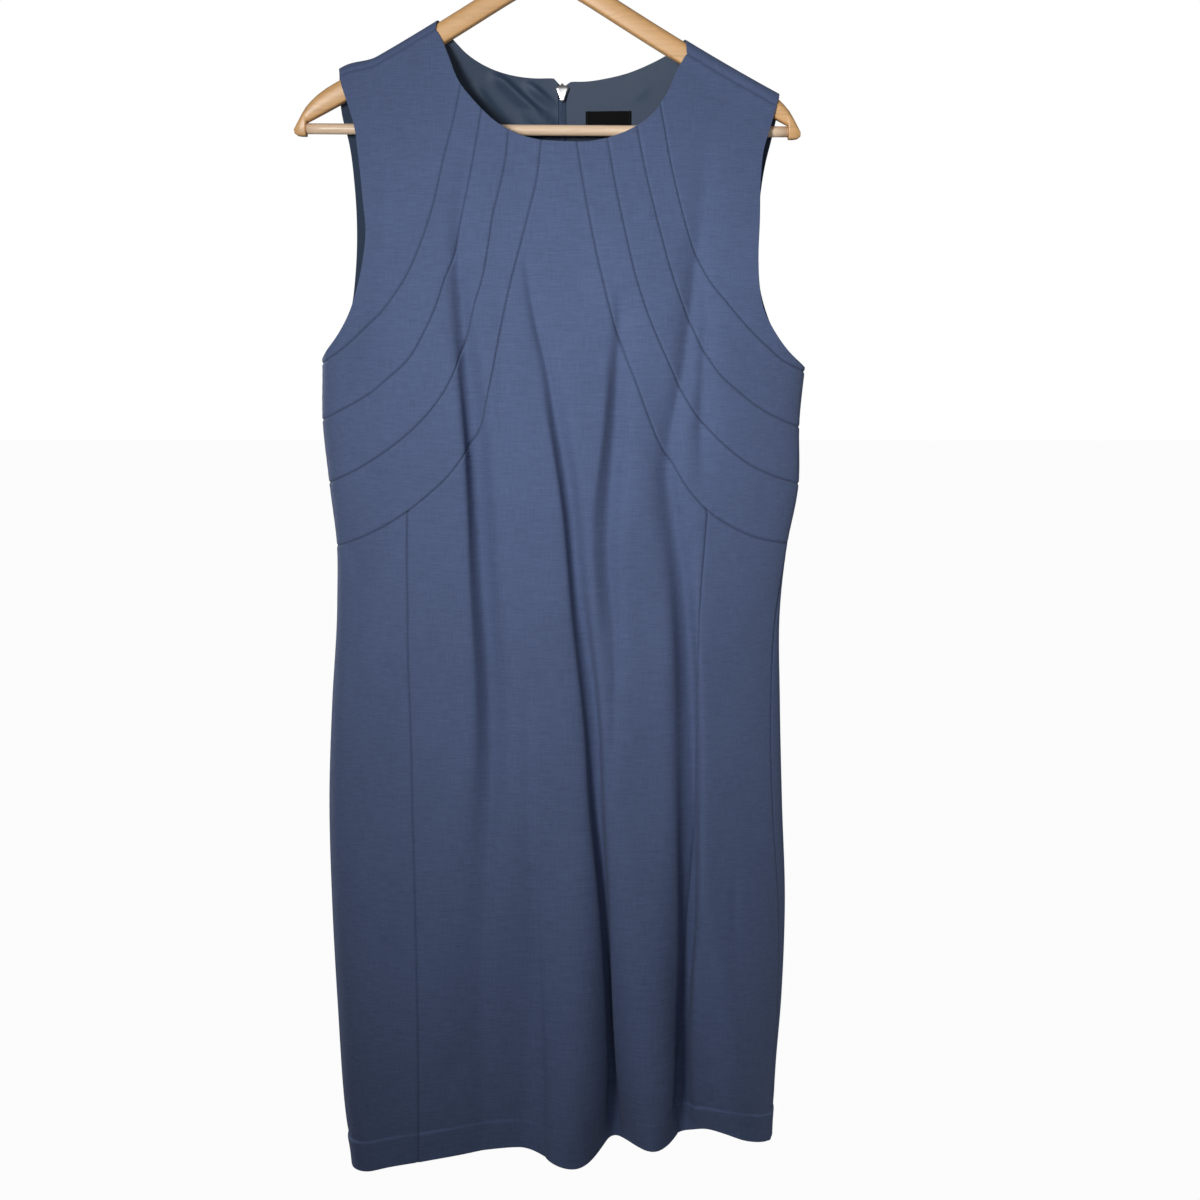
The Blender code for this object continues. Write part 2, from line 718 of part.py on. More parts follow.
def make_back(curves):
    """Makes both back panels, and gives the middle points and normals of their grids."""
    sheets = {}
    shares = None
    for side, word, tables in (
        (-1, "left", (ARMHOLE_OVER_LEFT, ARMHOLE_BACK_LEFT, NECK_OVER_LEFT, NECK_BACK_LEFT)),
        (1, "right", (ARMHOLE_OVER_RIGHT, ARMHOLE_BACK_RIGHT, NECK_OVER_RIGHT, NECK_BACK_RIGHT)),
    ):
        grid = back_grid(curves, side, shares, *tables)
        z = grid[:, -1, 1]
        shares = (z - z[0]) / (z[-1] - z[0])
        cloth_solid(f"back_{word}", grid, dress_cloth(f"back_{word}"))
        sheets[side] = (
            surface(grid[..., 0], grid[..., 1]),
            normals(grid[..., 0], grid[..., 1]),
        )
    return sheets


# Trims inside the back of the neck


def between(sheet, row, column):
    """The middle point and normal of a back panel at a row and column between its own."""
    i, j = min(int(row), len(sheet[0]) - 2), min(int(column), len(sheet[0][0]) - 2)
    t, s = row - i, column - j
    found = []
    for grid in sheet:
        upper = (1 - s) * grid[i, j] + s * grid[i, j + 1]
        lower = (1 - s) * grid[i + 1, j] + s * grid[i + 1, j + 1]
        found.append((1 - t) * upper + t * lower)
    return found[0], found[1] / np.linalg.norm(found[1])


def column_at(sheet, row, x):
    """The column, between the panel's own, where a row of a back panel has this x."""
    columns = np.linspace(0, len(sheet[0][0]) - 1, 241)
    found = np.array([between(sheet, row, c)[0][0] for c in columns])
    return float(columns[int(np.argmin(np.abs(found - x)))])


def laid(sheet, rows, columns_of):
    """Middle points and normals on a back panel; columns_of gives a row's columns."""
    both = [[between(sheet, row, c) for c in columns_of(row)] for row in rows]
    return tuple(np.array([[pair[k] for pair in line] for line in both]) for k in (0, 1))


def make_lining(sheets):
    """The lining of the upper back, which shows through the neck."""
    first = BACK_SHOULDER_CELLS + BACK_NECK_OVER_CELLS + 1
    last = first + BACK_NECK_CELLS
    depth = -(WALL / 2 + LAYER_GAP + LINING_WALL / 2)
    for side, word in ((-1, "left"), (1, "right")):
        sheet = sheets[side]

        def columns_of(row):
            inner = NOTCH[0] * MM + side * LINING_CENTRE_GAP
            return [*range(first, last), column_at(sheet, max(row, 1), inner)]

        rows = [LINING_TOP_SHARE, *range(1, LINING_ROWS + 1)]
        material = cloth_material(f"lining_{word}", (0.055, 0.087, 0.135), 0.6)
        points = laid(sheet, rows, columns_of)
        wall_solid(f"lining_back_{word}", *points, material, LINING_WALL, depth)


def make_label(sheets):
    sheet = sheets[1]

    edges = [[column_at(sheet, row, x * MM) for x in reversed(LABEL_X)] for row in LABEL_ROWS]
    first, last = max(a for a, _ in edges), min(b for _, b in edges)
    own = [c for c in range(20) if first + 0.1 < c < last - 0.1]

    def columns_of(row):
        outer, inner = edges[LABEL_ROWS.index(row)]
        return [outer, *own, inner]

    depth = -(WALL / 2 + LAYER_GAP + LINING_WALL + LAYER_GAP + LABEL_WALL / 2)
    material = cloth_material("label_weave", (0.008, 0.008, 0.01), 0.7)
    points = laid(sheet, LABEL_ROWS, columns_of)
    wall_solid("label", *points, material, LABEL_WALL, depth)


def make_zip(sheets):
    """The closed zip's strip inside the back seam, its slider and the tab outside."""
    centre = NOTCH[0] * MM
    tape_rows = [TAPE_TOP_SHARE, *range(1, LINING_ROWS + 1)]
    halves = []
    for side in (-1, 1):
        sheet = sheets[side]

        def columns_of(row):
            edge = column_at(sheet, max(row, 1), centre + side * TAPE_HALF)
            middle = len(sheet[0][0]) - 1
            return [edge, middle] if side < 0 else [edge]

        halves.append(laid(sheet, tape_rows, columns_of))
    points = [np.concatenate([halves[0][k], halves[1][k]], axis=1) for k in (0, 1)]
    depth = -(WALL / 2 + LAYER_GAP + TAPE_WALL / 2)
    tape = cloth_material("zip_tape_weave", (0.07, 0.1, 0.17), 0.8)
    wall_solid("zip_tape", *points, tape, TAPE_WALL, depth)

    foot = plan(np.array([[centre, NOTCH[1] * MM]]), behind=True)[0]
    at = surface(foot[0], foot[1])
    metal = cloth_material("zip_metal", (0.78, 0.78, 0.8), 0.3, 1.0)
    # The slider's path: distance out of the cloth, height over the notch's foot, width,
    # thickness. It starts inside the dress and ends in the loop that holds the tab.
    path = (
        (-4.0, -9.0, 6.2, 1.8), (-4.0, -7.4, 7.0, 2.4), (-4.0, -1.2, 7.0, 2.4),
        (-3.9, 0.6, 4.6, 2.2), (-3.2, 2.2, 1.6, 1.5), (-1.6, 2.9, 1.6, 1.4),
        (5.2, 2.9, 1.6, 1.4), (6.9, 2.2, 1.6, 1.4), (7.4, 0.6, 1.6, 1.4),
        (7.4, -1.0, 1.6, 1.4), (6.6, -2.2, 1.6, 1.3), (4.8, -2.5, 1.6, 1.2),
    )
    line = np.array([(out, up) for out, up, _, _ in path], float)
    along = np.gradient(line, axis=0)
    along /= np.linalg.norm(along, axis=1, keepdims=True)
    rings = []
    for (out, up, width, thick), (dy, dz) in zip(path, along):
        ring = []
        for sx, sn in ((-1, -1), (1, -1), (1, 1), (-1, 1)):
            y = out - sn * thick / 2 * dz
            z = up + sn * thick / 2 * dy
            ring.append((at[0] + sx * width / 2 * MM, at[1] + y * MM, at[2] + z * MM))
        rings.append(np.array(ring))
    ring_solid("zip_slider", rings, metal, smooth=False)

    axis = np.array([at[0], at[1] + 5.2 * MM, at[2] + 0.6 * MM])
    make_pull(axis, metal)


def make_pull(axis, metal):
    """The tab: a plate with a window whose top bar lies in the slider's loop."""
    half, thick = PULL_WIDTH / 2, PULL_WALL / 2
    outer = [(-half, 0.5 * MM), (half, 0.5 * MM), (half, -5.4 * MM), (half * 0.8, -PULL_LENGTH)]
    outer += [(-half * 0.8, -PULL_LENGTH), (-half, -5.4 * MM)]
    hole = 1.5 * MM
    inner = [(-hole, -0.5 * MM), (hole, -0.5 * MM), (hole, -4.6 * MM), (hole * 0.9, -5.0 * MM)]
    inner += [(-hole * 0.9, -5.0 * MM), (-hole, -4.6 * MM)]
    points = []
    for y in (-thick, thick):
        points += [(x, y, z) for x, z in outer]
        points += [(x, y, z) for x, z in inner]
    faces = []
    for j in range(6):
        k = (j + 1) % 6
        faces.append((j, k, 6 + k, 6 + j))
        faces.append((12 + k, 12 + j, 18 + j, 18 + k))
        faces.append((k, j, 12 + j, 12 + k))
        faces.append((6 + j, 6 + k, 18 + k, 18 + j))
    faces = [tuple(reversed(face)) for face in faces]
    pull = make_object("zip_pull", points, faces, metal, smooth=False)
    pull.location = tuple(axis)


# The hanger


def make_arms():
    wood = cloth_material("hanger_wood", (0.76, 0.49, 0.24), 0.45)
    # Distance from the middle, lift of the top, and underside (0: follows the arm).
    stations = (
        (0.15, 0, 0), (14, 0, 0), (30, 0, 0), (52, 0, 0), (78, 0, 0), (104, 0, 0), (130, 0, 0),
        (156, 0, 0), (180, 0, 0), (190, -0.5, 0), (198, -2, 0), (204, -4.5, 0),
        (207.95, -7, 0), (208.15, -7, -233.5), (212, -11, -233.5), (216, -16.5, -233),
        (218.5, -20, -231),
    )
    for side, word in ((-1, "left"), (1, "right")):
        rings = []
        for distance, lift, under in stations:
            x = side * distance * MM
            middle = float(arm_line(np.array([x]))[0])
            top = middle + ARM_TOP_RISE + lift * MM
            bottom = under * MM - HANGER_TILT * x if under else middle - ARM_BELOW
            spring = top - min(ARM_TOP_RISE, 0.4 * (top - bottom))
            ring = []
            for step in range(9):
                turn = math.pi * step / 8
                ring.append((x, ARM_HALF_THICK * math.cos(turn), spring + (top - spring) * math.sin(turn)))
            corner = 2.2 * MM
            ring.append((x, -ARM_HALF_THICK, bottom + corner))
            ring.append((x, -ARM_HALF_THICK + corner, bottom))
            ring.append((x, ARM_HALF_THICK - corner, bottom))
            ring.append((x, ARM_HALF_THICK, bottom + corner))
            rings.append(np.array(ring))
        ring_solid(f"hanger_arm_{word}", rings, wood)


def circle_ring(centre, first, second, radius, count):
    turns = np.arange(count) / count * 2 * math.pi
    return centre + radius * (np.cos(turns)[:, None] * first + np.sin(turns)[:, None] * second)


def make_bar():
    wood = cloth_material("bar_wood", (0.84, 0.6, 0.4), 0.45)
    across = np.array([0.0, 1.0, 0.0])
    rings = []
    for distance in (-BAR_END, -BAR_END / 2, 0, BAR_END / 2, BAR_END):
        centre = np.array([distance, 0, BAR_Z - HANGER_TILT * distance])
        rings.append(circle_ring(centre, across, np.array([0, 0, 1.0]), BAR_RADIUS, 14))
    ring_solid("hanger_bar", rings, wood)


def make_hook():
    metal = cloth_material("hook_metal", (0.7, 0.7, 0.72), 0.25, 1.0)
    apex = float(arm_line(np.array([0.0]))[0]) + ARM_TOP_RISE
    top = HOOK_WIRE
    centre_z = top - HOOK_RADIUS
    points = [(0, apex + 0.4 * MM, 5.0), (0, apex + 3.4 * MM, 5.0), (0, apex + 4.2 * MM, 2.2)]
    points += [(0, apex + 10 * MM, 2.0), (1.5 * MM, apex + 18 * MM, 2.0)]
    points += [(8.5 * MM, apex + 27 * MM, 2.0)]
    for degrees in range(-45, 226, 15):
        turn = math.radians(degrees)
        x = HOOK_RADIUS * math.cos(turn)
        points.append((x, centre_z + HOOK_RADIUS * math.sin(turn), 2.0))
    line = np.array([(x, z) for x, z, _ in points])
    along = np.gradient(line, axis=0)
    along /= np.linalg.norm(along, axis=1, keepdims=True)
    along[:4] = (0, 1)
    rings = []
    for (x, z, radius), (dx, dz) in zip(points, along):
        side = np.array([dz, 0, -dx])
        centre = np.array([x, 0, z])
        rings.append(circle_ring(centre, side, np.array([0, 1.0, 0]), radius * MM, 10))
    ring_solid("hanger_hook", rings, metal)


def clear_scene():
    for obj in list(bpy.data.objects):
        bpy.data.objects.remove(obj, do_unlink=True)


def main():
    clear_scene()
    bpy.context.scene.unit_settings.system = "METRIC"
    curves = front_curves()
    make_centre(curves)
    for side, word, armhole in (
        (-1, "left", ARMHOLE_FRONT_LEFT),
        (1, "right", ARMHOLE_FRONT_RIGHT),
    ):
        make_bands(curves, side, word)
        make_yoke(curves, side, word, armhole)
        make_skirt(curves, side, word)
    sheets = make_back(curves)
    make_lining(sheets)
    make_label(sheets)
    make_zip(sheets)
    make_arms()
    make_bar()
    make_hook()


main()
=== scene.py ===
"""Looks of a sleeveless sheath dress on a wooden hanger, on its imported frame.

Metres, +Z up, the front of the dress towards -Y, the hook's inner top at the origin.
Tables are in millimetres. "left" is the -X side and "right" the +X side.
The shape tables and the surface repeat the construction's, so each cloth piece is a thin
shell on the form of the solid that it stands for, with seams, creases and turned edges.
A plan point is an angle round the body and a height.
"""

import math

import bpy
import numpy as np
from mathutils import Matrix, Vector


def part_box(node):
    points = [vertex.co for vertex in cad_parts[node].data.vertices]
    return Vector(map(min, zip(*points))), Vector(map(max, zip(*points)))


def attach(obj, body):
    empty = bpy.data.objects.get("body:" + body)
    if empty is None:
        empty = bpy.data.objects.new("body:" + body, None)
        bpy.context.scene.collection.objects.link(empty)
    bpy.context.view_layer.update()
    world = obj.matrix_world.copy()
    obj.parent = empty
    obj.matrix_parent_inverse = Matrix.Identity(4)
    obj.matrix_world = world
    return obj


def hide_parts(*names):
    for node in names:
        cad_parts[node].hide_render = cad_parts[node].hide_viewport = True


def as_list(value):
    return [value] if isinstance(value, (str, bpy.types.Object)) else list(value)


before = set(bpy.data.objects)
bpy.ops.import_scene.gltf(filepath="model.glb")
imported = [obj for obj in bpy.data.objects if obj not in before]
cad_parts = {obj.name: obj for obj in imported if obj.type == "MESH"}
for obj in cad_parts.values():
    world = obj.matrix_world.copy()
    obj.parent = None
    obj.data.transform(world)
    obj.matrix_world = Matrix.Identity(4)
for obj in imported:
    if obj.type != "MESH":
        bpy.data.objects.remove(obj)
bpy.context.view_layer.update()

MM = 0.001
CLOTH = 1.2 * MM  # thickness of the dress cloth's shell
WALL = 1.5 * MM  # of the solids
HEM_DEPTH = 26 * MM  # turned up inside
LAYER_GAP = 0.3 * MM
LINING = 0.8 * MM

HANGER_HALF = 222.5 * MM
ARM_TIP_Z = -206.5 * MM
ARM_SLOPE = 0.50
ARM_CURVE = 0.4
ARM_APEX_ROUND = 15 * MM
HANGER_TILT = 0.0064
ARM_HALF_THICK = 5.9 * MM
ARM_TOP_RISE = 6.4 * MM
ARM_BELOW = 14.0 * MM
BAR_RADIUS = 4.6 * MM
BAR_Z = -228.5 * MM
BAR_END = 207.7 * MM
BAR_RISE = 1.5 * MM
HOOK_WIRE = 2.0 * MM
HOOK_RADIUS = 22.0 * MM

WRAP_Y = 7.5 * MM
WRAP_Z = 8.0 * MM
WRAP_LENGTH = 25.0 * MM
DRAPE_START = 70 * MM
TIP_LIFT = 7.5 * MM  # 3.5 mm more than the construction's, for the stiff end of the shoulder
TIP_LIFT_FROM = 145 * MM
TIP_LIFT_RUN = 30 * MM

# Level sections: z, left edge x, right edge x, depth in front, depth behind, roundness
# of the sides (0 is open at the armholes).
SECTION = (
    (-100, -198, 225, 20, 20, 0), (-210, -198, 225, 25, 23, 0), (-250, -198, 225, 29, 27, 0.12),
    (-300, -198, 225, 33, 30, 0.27), (-360, -198, 225, 37, 33, 0.46), (-425, -198, 225, 40, 36, 0.66),
    (-476, -199, 221, 40, 37, 0.7), (-533, -194, 221, 39, 38, 0.7), (-588, -189, 212, 39, 38, 0.7),
    (-642, -190, 207, 41, 39, 0.7), (-727, -196, 208, 45, 41, 0.7), (-820, -200, 211, 51, 43, 0.7),
    (-915, -198, 215, 58, 45, 0.7), (-1003, -193, 213, 64, 48, 0.7), (-1076, -187, 208, 68, 51, 0.7),
    (-1140, -179, 206, 71, 54, 0.7), (-1200, -175, 206, 73, 56, 0.7),
)
# How far the sides swing forward: z, left side y, right side y.
SWING = ((-700, 0, 0), (-850, -6, 0), (-1000, -26, 0), (-1140, -52, -4), (-1200, -56, -4))
# The right side seam lies in front of the edge: z, angle ahead of it in degrees.
SEAM_FORWARD = ((-430, 0), (-560, 2), (-640, 12), (-1000, 15), (-1200, 13))
# Folds: z, x of the bottom, width on its left, width on its right, depth.
FOLDS_FRONT = (
    ((-330, -78, 8, 10, 0), (-390, -74, 8, 12, 3), (-490, -67, 8, 14, 6), (-610, -66, 9, 16, 6),
     (-750, -60, 11, 18, 5), (-900, -54, 14, 24, 0)),
    ((-350, -17, 10, 12, 0), (-450, -2, 12, 14, 3), (-550, 15, 12, 16, 6), (-670, 26, 14, 18, 9),
     (-810, 42, 17, 20, 14), (-900, 49, 19, 22, 22), (-1020, 54, 20, 24, 38), (-1140, 58, 20, 24, 56),
     (-1200, 59, 20, 24, 60)),
    ((-400, 56, 10, 10, 0), (-490, 48, 10, 12, 4), (-560, 40, 10, 12, 5), (-640, 46, 12, 12, 3),
     (-700, 50, 12, 12, 0)),
    ((-430, 96, 14, 10, 0), (-505, 101, 14, 10, 3), (-590, 111, 14, 12, 6), (-690, 118, 16, 14, 9),
     (-780, 119, 18, 16, 11), (-860, 119, 20, 18, 17), (-980, 120, 22, 28, 32), (-1110, 128, 24, 38, 56),
     (-1200, 130, 24, 42, 62)),
    ((-820, -10, 40, 24, 0), (-900, -16, 50, 24, 6), (-1020, -22, 70, 25, 18), (-1140, -28, 92, 26, 32),
     (-1200, -30, 95, 26, 34)),
)
FOLDS_BACK = (
    ((-260, -50, 14, 12, 0), (-420, -62, 14, 16, 4), (-620, -70, 16, 18, 6), (-860, -78, 20, 22, 9),
     (-1140, -92, 26, 26, 24), (-1200, -94, 26, 26, 26)),
    ((-300, 84, 14, 12, 0), (-480, 76, 14, 14, 5), (-700, 84, 18, 18, 7), (-940, 96, 22, 22, 14),
     (-1140, 104, 26, 26, 26), (-1200, 106, 26, 26, 28)),
    ((-700, 16, 24, 24, 0), (-900, 14, 26, 26, 6), (-1140, 8, 30, 30, 18), (-1200, 8, 30, 30, 20)),
)

# Edges and seams of the front: x, z.
NECK_FRONT = (
    (-94.5, -144.5), (-90, -152), (-84, -166), (-75, -188), (-61, -206), (-39, -226), (-26, -233),
    (-10, -238), (13, -240), (35, -240), (55, -236), (68, -231), (88, -218), (102, -199), (112, -177),
    (116, -170), (119.5, -164.5),
)
ARMHOLE_FRONT_LEFT = (
    (-177, -188), (-172, -203), (-165, -225), (-161, -251), (-157, -290), (-155, -314), (-159, -345),
    (-164, -365), (-172, -386), (-183, -404), (-193, -416), (-198, -423),
)
ARMHOLE_FRONT_RIGHT = (
    (197, -207), (194, -218), (190, -231), (186, -244), (183, -268), (182, -306), (181, -338), (182, -358),
    (186, -380), (196, -399), (209, -416), (225, -430),
)
SEAMS_LEFT = (
    ((-73, -190), (-79, -222), (-87, -253), (-96, -292), (-106, -322), (-122, -356), (-138, -377),
     (-157, -396), (-175, -412), (-198, -427)),
    ((-55, -213), (-62, -253), (-67, -277), (-74, -308), (-80, -339), (-87, -356), (-95, -379),
     (-106, -402), (-119, -423), (-137, -439), (-156, -453), (-173, -463), (-199, -476)),
    ((-32, -231), (-34, -253), (-39, -277), (-45, -300), (-50, -331), (-55, -356), (-62, -376), (-69, -400),
     (-77, -428), (-88, -450), (-104, -471), (-123, -489), (-142, -503), (-163, -516), (-194, -531)),
    ((-4, -239), (-9, -277), (-15, -300), (-22, -327), (-30, -356), (-36, -381), (-42, -410), (-47, -435),
     (-53, -458), (-61, -482), (-72, -504), (-85, -522), (-103, -539), (-122, -554), (-139, -565),
     (-163, -577), (-189, -587)),
)
SEAMS_RIGHT = (
    ((97, -207), (101, -230), (105, -253), (112, -284), (120, -313), (128, -335), (139, -356), (157, -378),
     (172, -395), (190, -412), (206, -425), (225, -434)),
    ((77, -226), (82, -253), (89, -284), (97, -315), (109, -356), (118, -379), (128, -402), (137, -419),
     (149, -436), (166, -451), (183, -464), (201, -474), (221, -482)),
    ((52, -237), (59, -277), (67, -315), (77, -356), (87, -386), (98, -412), (109, -435), (121, -459),
     (137, -480), (160, -502), (180, -516), (198, -524), (221, -532)),
    ((26, -240), (32, -277), (39, -315), (48, -356), (57, -390), (67, -420), (77, -444), (86, -468),
     (97, -494), (111, -518), (125, -538), (139, -553), (158, -566), (181, -577), (212, -585)),
)
PRINCESS_LEFT = (
    (-122, -554), (-123, -590), (-123, -640), (-123, -687), (-121, -751), (-120, -811), (-117, -938),
    (-115, -1055), (-115, -1142),
)
PRINCESS_RIGHT = (
    (139, -553), (137, -580), (134, -623), (131, -687), (130, -750), (128, -810), (122, -937), (120, -1060),
    (120, -1142),
)
JOIN_LEFT = 13  # which row of the last seam the princess seam starts at
JOIN_RIGHT = 11
HEM_FRONT = (
    (-179, -1140), (-162, -1137), (-143, -1131), (-105, -1126), (-74, -1125), (-25, -1126), (-5, -1129),
    (9, -1133), (30, -1136), (45, -1135), (56, -1132), (80, -1128), (101, -1129), (128, -1125),
    (144, -1121), (161, -1122), (177, -1127), (192, -1132), (203, -1136),
)
HEM_BACK_Z = -1140 * MM

# Edges of the back: x, z, with the neck's bend over the arm given in shares of the wrap.
NECK_BACK_LEFT = ((-81, -150), (-70, -161), (-50, -172.5), (-31, -178), (-15, -180), (5, -180))
NECK_BACK_RIGHT = ((101, -164), (86, -171), (69, -177), (50, -181), (34, -183), (20, -183))
NOTCH = (12.5, -188)
NECK_OVER_LEFT = ((-94.5, 1.0), (-93.0, 0.5), (-89.0, 0.0))
NECK_OVER_RIGHT = ((119.5, 1.14), (118, 0.5), (113, 0.0))
ARMHOLE_OVER_LEFT = ((-177, 1.0), (-179, 0.5), (-180, 0.0))
ARMHOLE_OVER_RIGHT = ((197, 1.14), (200, 0.5), (200, 0.0))
ARMHOLE_BACK_LEFT = (
    (-179, -212), (-174, -236), (-171, -270), (-170, -302), (-172, -345), (-177, -380), (-186, -407),
    (-198, -423),
)
ARMHOLE_BACK_RIGHT = (
    (196, -228), (190, -255), (186, -290), (185, -330), (190, -368), (202, -400), (213, -418), (225, -430),
)

# Cells of the construction's panels, which say how a panel's lines run between its seams.
SEAM_CELLS = (13, 5)
SKIRT_CELLS = 15
SHOULDER_CELLS = 6
ARMHOLE_CELLS = 13
WRAP_CELLS = 6
BAND_CELLS = 3
BACK_TOP_CELLS = (6, 5, 5)  # shoulder, neck over the arm, neck
DENSE = 16  # curve points per cell

# Creases finer than the folds: z, x of the bottom, width on its left and right, depth.
CREASES_FRONT = (
    # The sharp line of the first fold, with its soft head and its wide foot, and of the others.
    ((-215, -56, 9, 9, 0), (-254, -66, 9, 9, 2.2), (-289, -73, 8, 9, 3.4), (-320, -76.5, 6.4, 10, 4.6),
     (-342, -76, 5.6, 10, 5.4), (-386, -73.5, 4.8, 10, 6.6), (-430, -70, 4.6, 11, 7.8),
     (-476, -67, 4.6, 12, 8.4), (-540, -64, 4.8, 13, 8.8), (-613, -60.5, 5.4, 14, 8.8),
     (-706, -54.5, 7, 14, 8.6), (-753, -52.5, 8.5, 13, 8.4), (-800, -52, 11, 12, 7.8),
     (-840, -53.5, 17, 9, 6.8), (-892, -56, 22, 9, 6.2), (-950, -60, 22, 10, 4.6), (-1040, -60, 20, 11, 3),
     (-1110, -60, 18, 12, 2), (-1200, -60, 18, 12, 2)),
    ((-325, -20, 4, 7, 0), (-356, -16, 3.6, 7, 2.4), (-387, -10.7, 3.4, 8, 4), (-430, -1, 3.4, 9, 4.8),
     (-476, 6.6, 3.6, 10, 5.2), (-521, 14.4, 4, 10, 5.8), (-566, 20.3, 4.4, 11, 6),
     (-642, 26.7, 6, 12, 5.8), (-688, 33, 6.5, 12, 5.8), (-744, 41, 7, 7, 6), (-800, 44, 7, 6, 5.5),
     (-850, 46, 7, 5.5, 5), (-897, 48, 7, 5.5, 5), (-946, 50, 7, 5.5, 4.6), (-997, 53, 7, 5.5, 4.4),
     (-1049, 56, 7, 5.5, 4), (-1121, 58.5, 6.5, 5.5, 3), (-1200, 58.5, 6.5, 5.5, 3)),
    ((-360, 62, 5, 9, 0), (-392, 62, 5, 10, 4), (-430, 60, 5, 11, 5.2), (-476, 57, 5, 12, 5.6),
     (-512, 53.5, 5.2, 12, 5.6), (-544, 51, 6, 12, 5.4), (-580, 49.5, 7, 10, 5.2), (-613, 52, 8, 9, 5.2),
     (-657, 57, 8, 8, 5.2), (-683, 58.5, 8, 7, 5), (-720, 58, 7, 6, 4.4), (-770, 56, 6, 6, 2.6),
     (-820, 54, 6, 6, 0)),
    # The fourth starts in two branches.
    ((-215, 138, 14, 12, 0), (-265, 135, 13, 11, 2), (-315, 130, 11, 10, 3.6), (-333, 128, 10, 10, 4.8),
     (-369, 125, 9.5, 9, 6), (-395, 122, 9, 9, 6.4), (-430, 118, 9, 9, 6.4), (-458, 112, 9, 9, 6.2),
     (-480, 107.5, 8.5, 8, 6.2), (-503, 105, 7.5, 8, 6.2), (-521, 104, 7.5, 8, 6), (-558, 109, 8.5, 8, 5.8),
     (-613, 117.5, 9, 8, 5.8), (-661, 121.5, 9, 7, 6.2), (-707, 124.5, 9, 6, 6.2), (-755, 126, 9, 6, 5.4),
     (-850, 126, 9, 6, 5), (-948, 126, 9, 6, 4.6), (-1017, 123, 9, 6, 4.4), (-1070, 122, 8, 6, 4),
     (-1200, 121, 7, 6, 4)),
    ((-355, 134, 6, 8, 0), (-385, 135.5, 6, 8, 3), (-430, 134.6, 6, 8, 4.2), (-470, 133, 6, 8, 4.2),
     (-500, 133, 6.5, 8, 2.6), (-535, 134, 7, 8, 0)),
    # Soft hollows over the bust, beside the yokes and at the sides.
    ((-330, -144, 13, 10, 0), (-369, -144, 13, 10, 3), (-395, -148, 13, 10, 4.4), (-422, -152, 13, 10, 4.4),
     (-448, -156, 12, 10, 3), (-500, -158, 12, 10, 0)),
    ((-540, -176, 9, 11, 0), (-585, -175, 9, 11, 2.6), (-620, -168, 10, 11, 3), (-665, -174, 10, 12, 2),
     (-740, -176, 10, 12, 0)),
    ((-225, -138, 15, 13, 0), (-265, -137, 15, 12, 2.4), (-310, -137, 15, 12, 2.4),
     (-360, -137, 14, 12, 0)),
    ((-330, -39, 7, 6, 0), (-402, -39, 7, 6, 1.4), (-475, -40, 7, 6, 1.5), (-540, -40, 8, 7, 0)),
    # A pressed line down the skirt.
    ((-690, -17, 12, 2.6, 0), (-752, -17, 13, 2.8, 2.2), (-845, -15.6, 15, 2.8, 2.6),
     (-902, -11.5, 15, 3, 2.6), (-985, -8.6, 15, 3, 2.6), (-1064, -6, 15, 3, 2.4), (-1200, -5, 15, 3, 2.2)),
    ((-860, 165, 3.4, 3, 0), (-887, 165.3, 3.4, 3, 1.1), (-940, 165.6, 3.4, 3, 1), (-965, 165.6, 4, 3, 0)),
)
CREASES_BACK = (
    ((-250, -52, 10, 8, 0), (-330, -58, 9, 6, 2.5), (-430, -62, 7, 4.5, 4.5), (-560, -66, 6.5, 4, 6),
     (-700, -72, 7, 4.5, 6.5), (-820, -78, 9, 5, 6), (-950, -84, 11, 7, 6), (-1080, -90, 12, 8, 5),
     (-1200, -93, 12, 9, 4)),
    ((-300, 84, 8, 9, 0), (-380, 80, 6, 8, 2.5), (-480, 76, 4.5, 6, 5), (-620, 80, 4.5, 6, 6),
     (-760, 86, 5, 7, 6.4), (-900, 94, 6, 9, 6), (-1040, 100, 8, 11, 5), (-1200, 105, 9, 12, 4)),
    ((-480, -24, 5, 7, 0), (-560, -28, 4.5, 6, 3), (-680, -34, 4.5, 6, 4.6), (-800, -40, 5, 7, 4),
     (-900, -44, 7, 9, 2), (-980, -46, 8, 10, 0)),
    ((-520, 56, 6, 5, 0), (-600, 52, 6, 4.5, 3.4), (-700, 46, 6, 4.5, 4.6), (-820, 42, 8, 5, 3),
     (-920, 40, 9, 7, 0)),
    ((-760, -6, 8, 8, 0), (-880, -8, 8, 7, 3.4), (-1000, -10, 9, 7, 4.6), (-1200, -12, 9, 8, 4.6)),
    ((-240, 36, 12, 12, 0), (-300, 40, 12, 12, 2.6), (-420, 48, 12, 12, 3.4), (-540, 54, 12, 12, 0)),
    ((-260, -110, 14, 12, 0), (-330, -118, 14, 12, 3), (-430, -128, 13, 11, 4.4), (-540, -134, 13, 12, 2.4),
     (-640, -138, 12, 12, 0)),
    ((-260, 126, 12, 12, 0), (-340, 132, 12, 12, 3), (-440, 140, 12, 11, 4.4), (-560, 148, 12, 12, 2.4),
     (-660, 150, 12, 12, 0)),
    ((-840, -140, 10, 12, 0), (-960, -144, 10, 11, 3), (-1200, -148, 10, 11, 3.4)),
    ((-820, 146, 12, 10, 0), (-960, 148, 11, 10, 3), (-1200, 150, 11, 10, 3.2)),
)
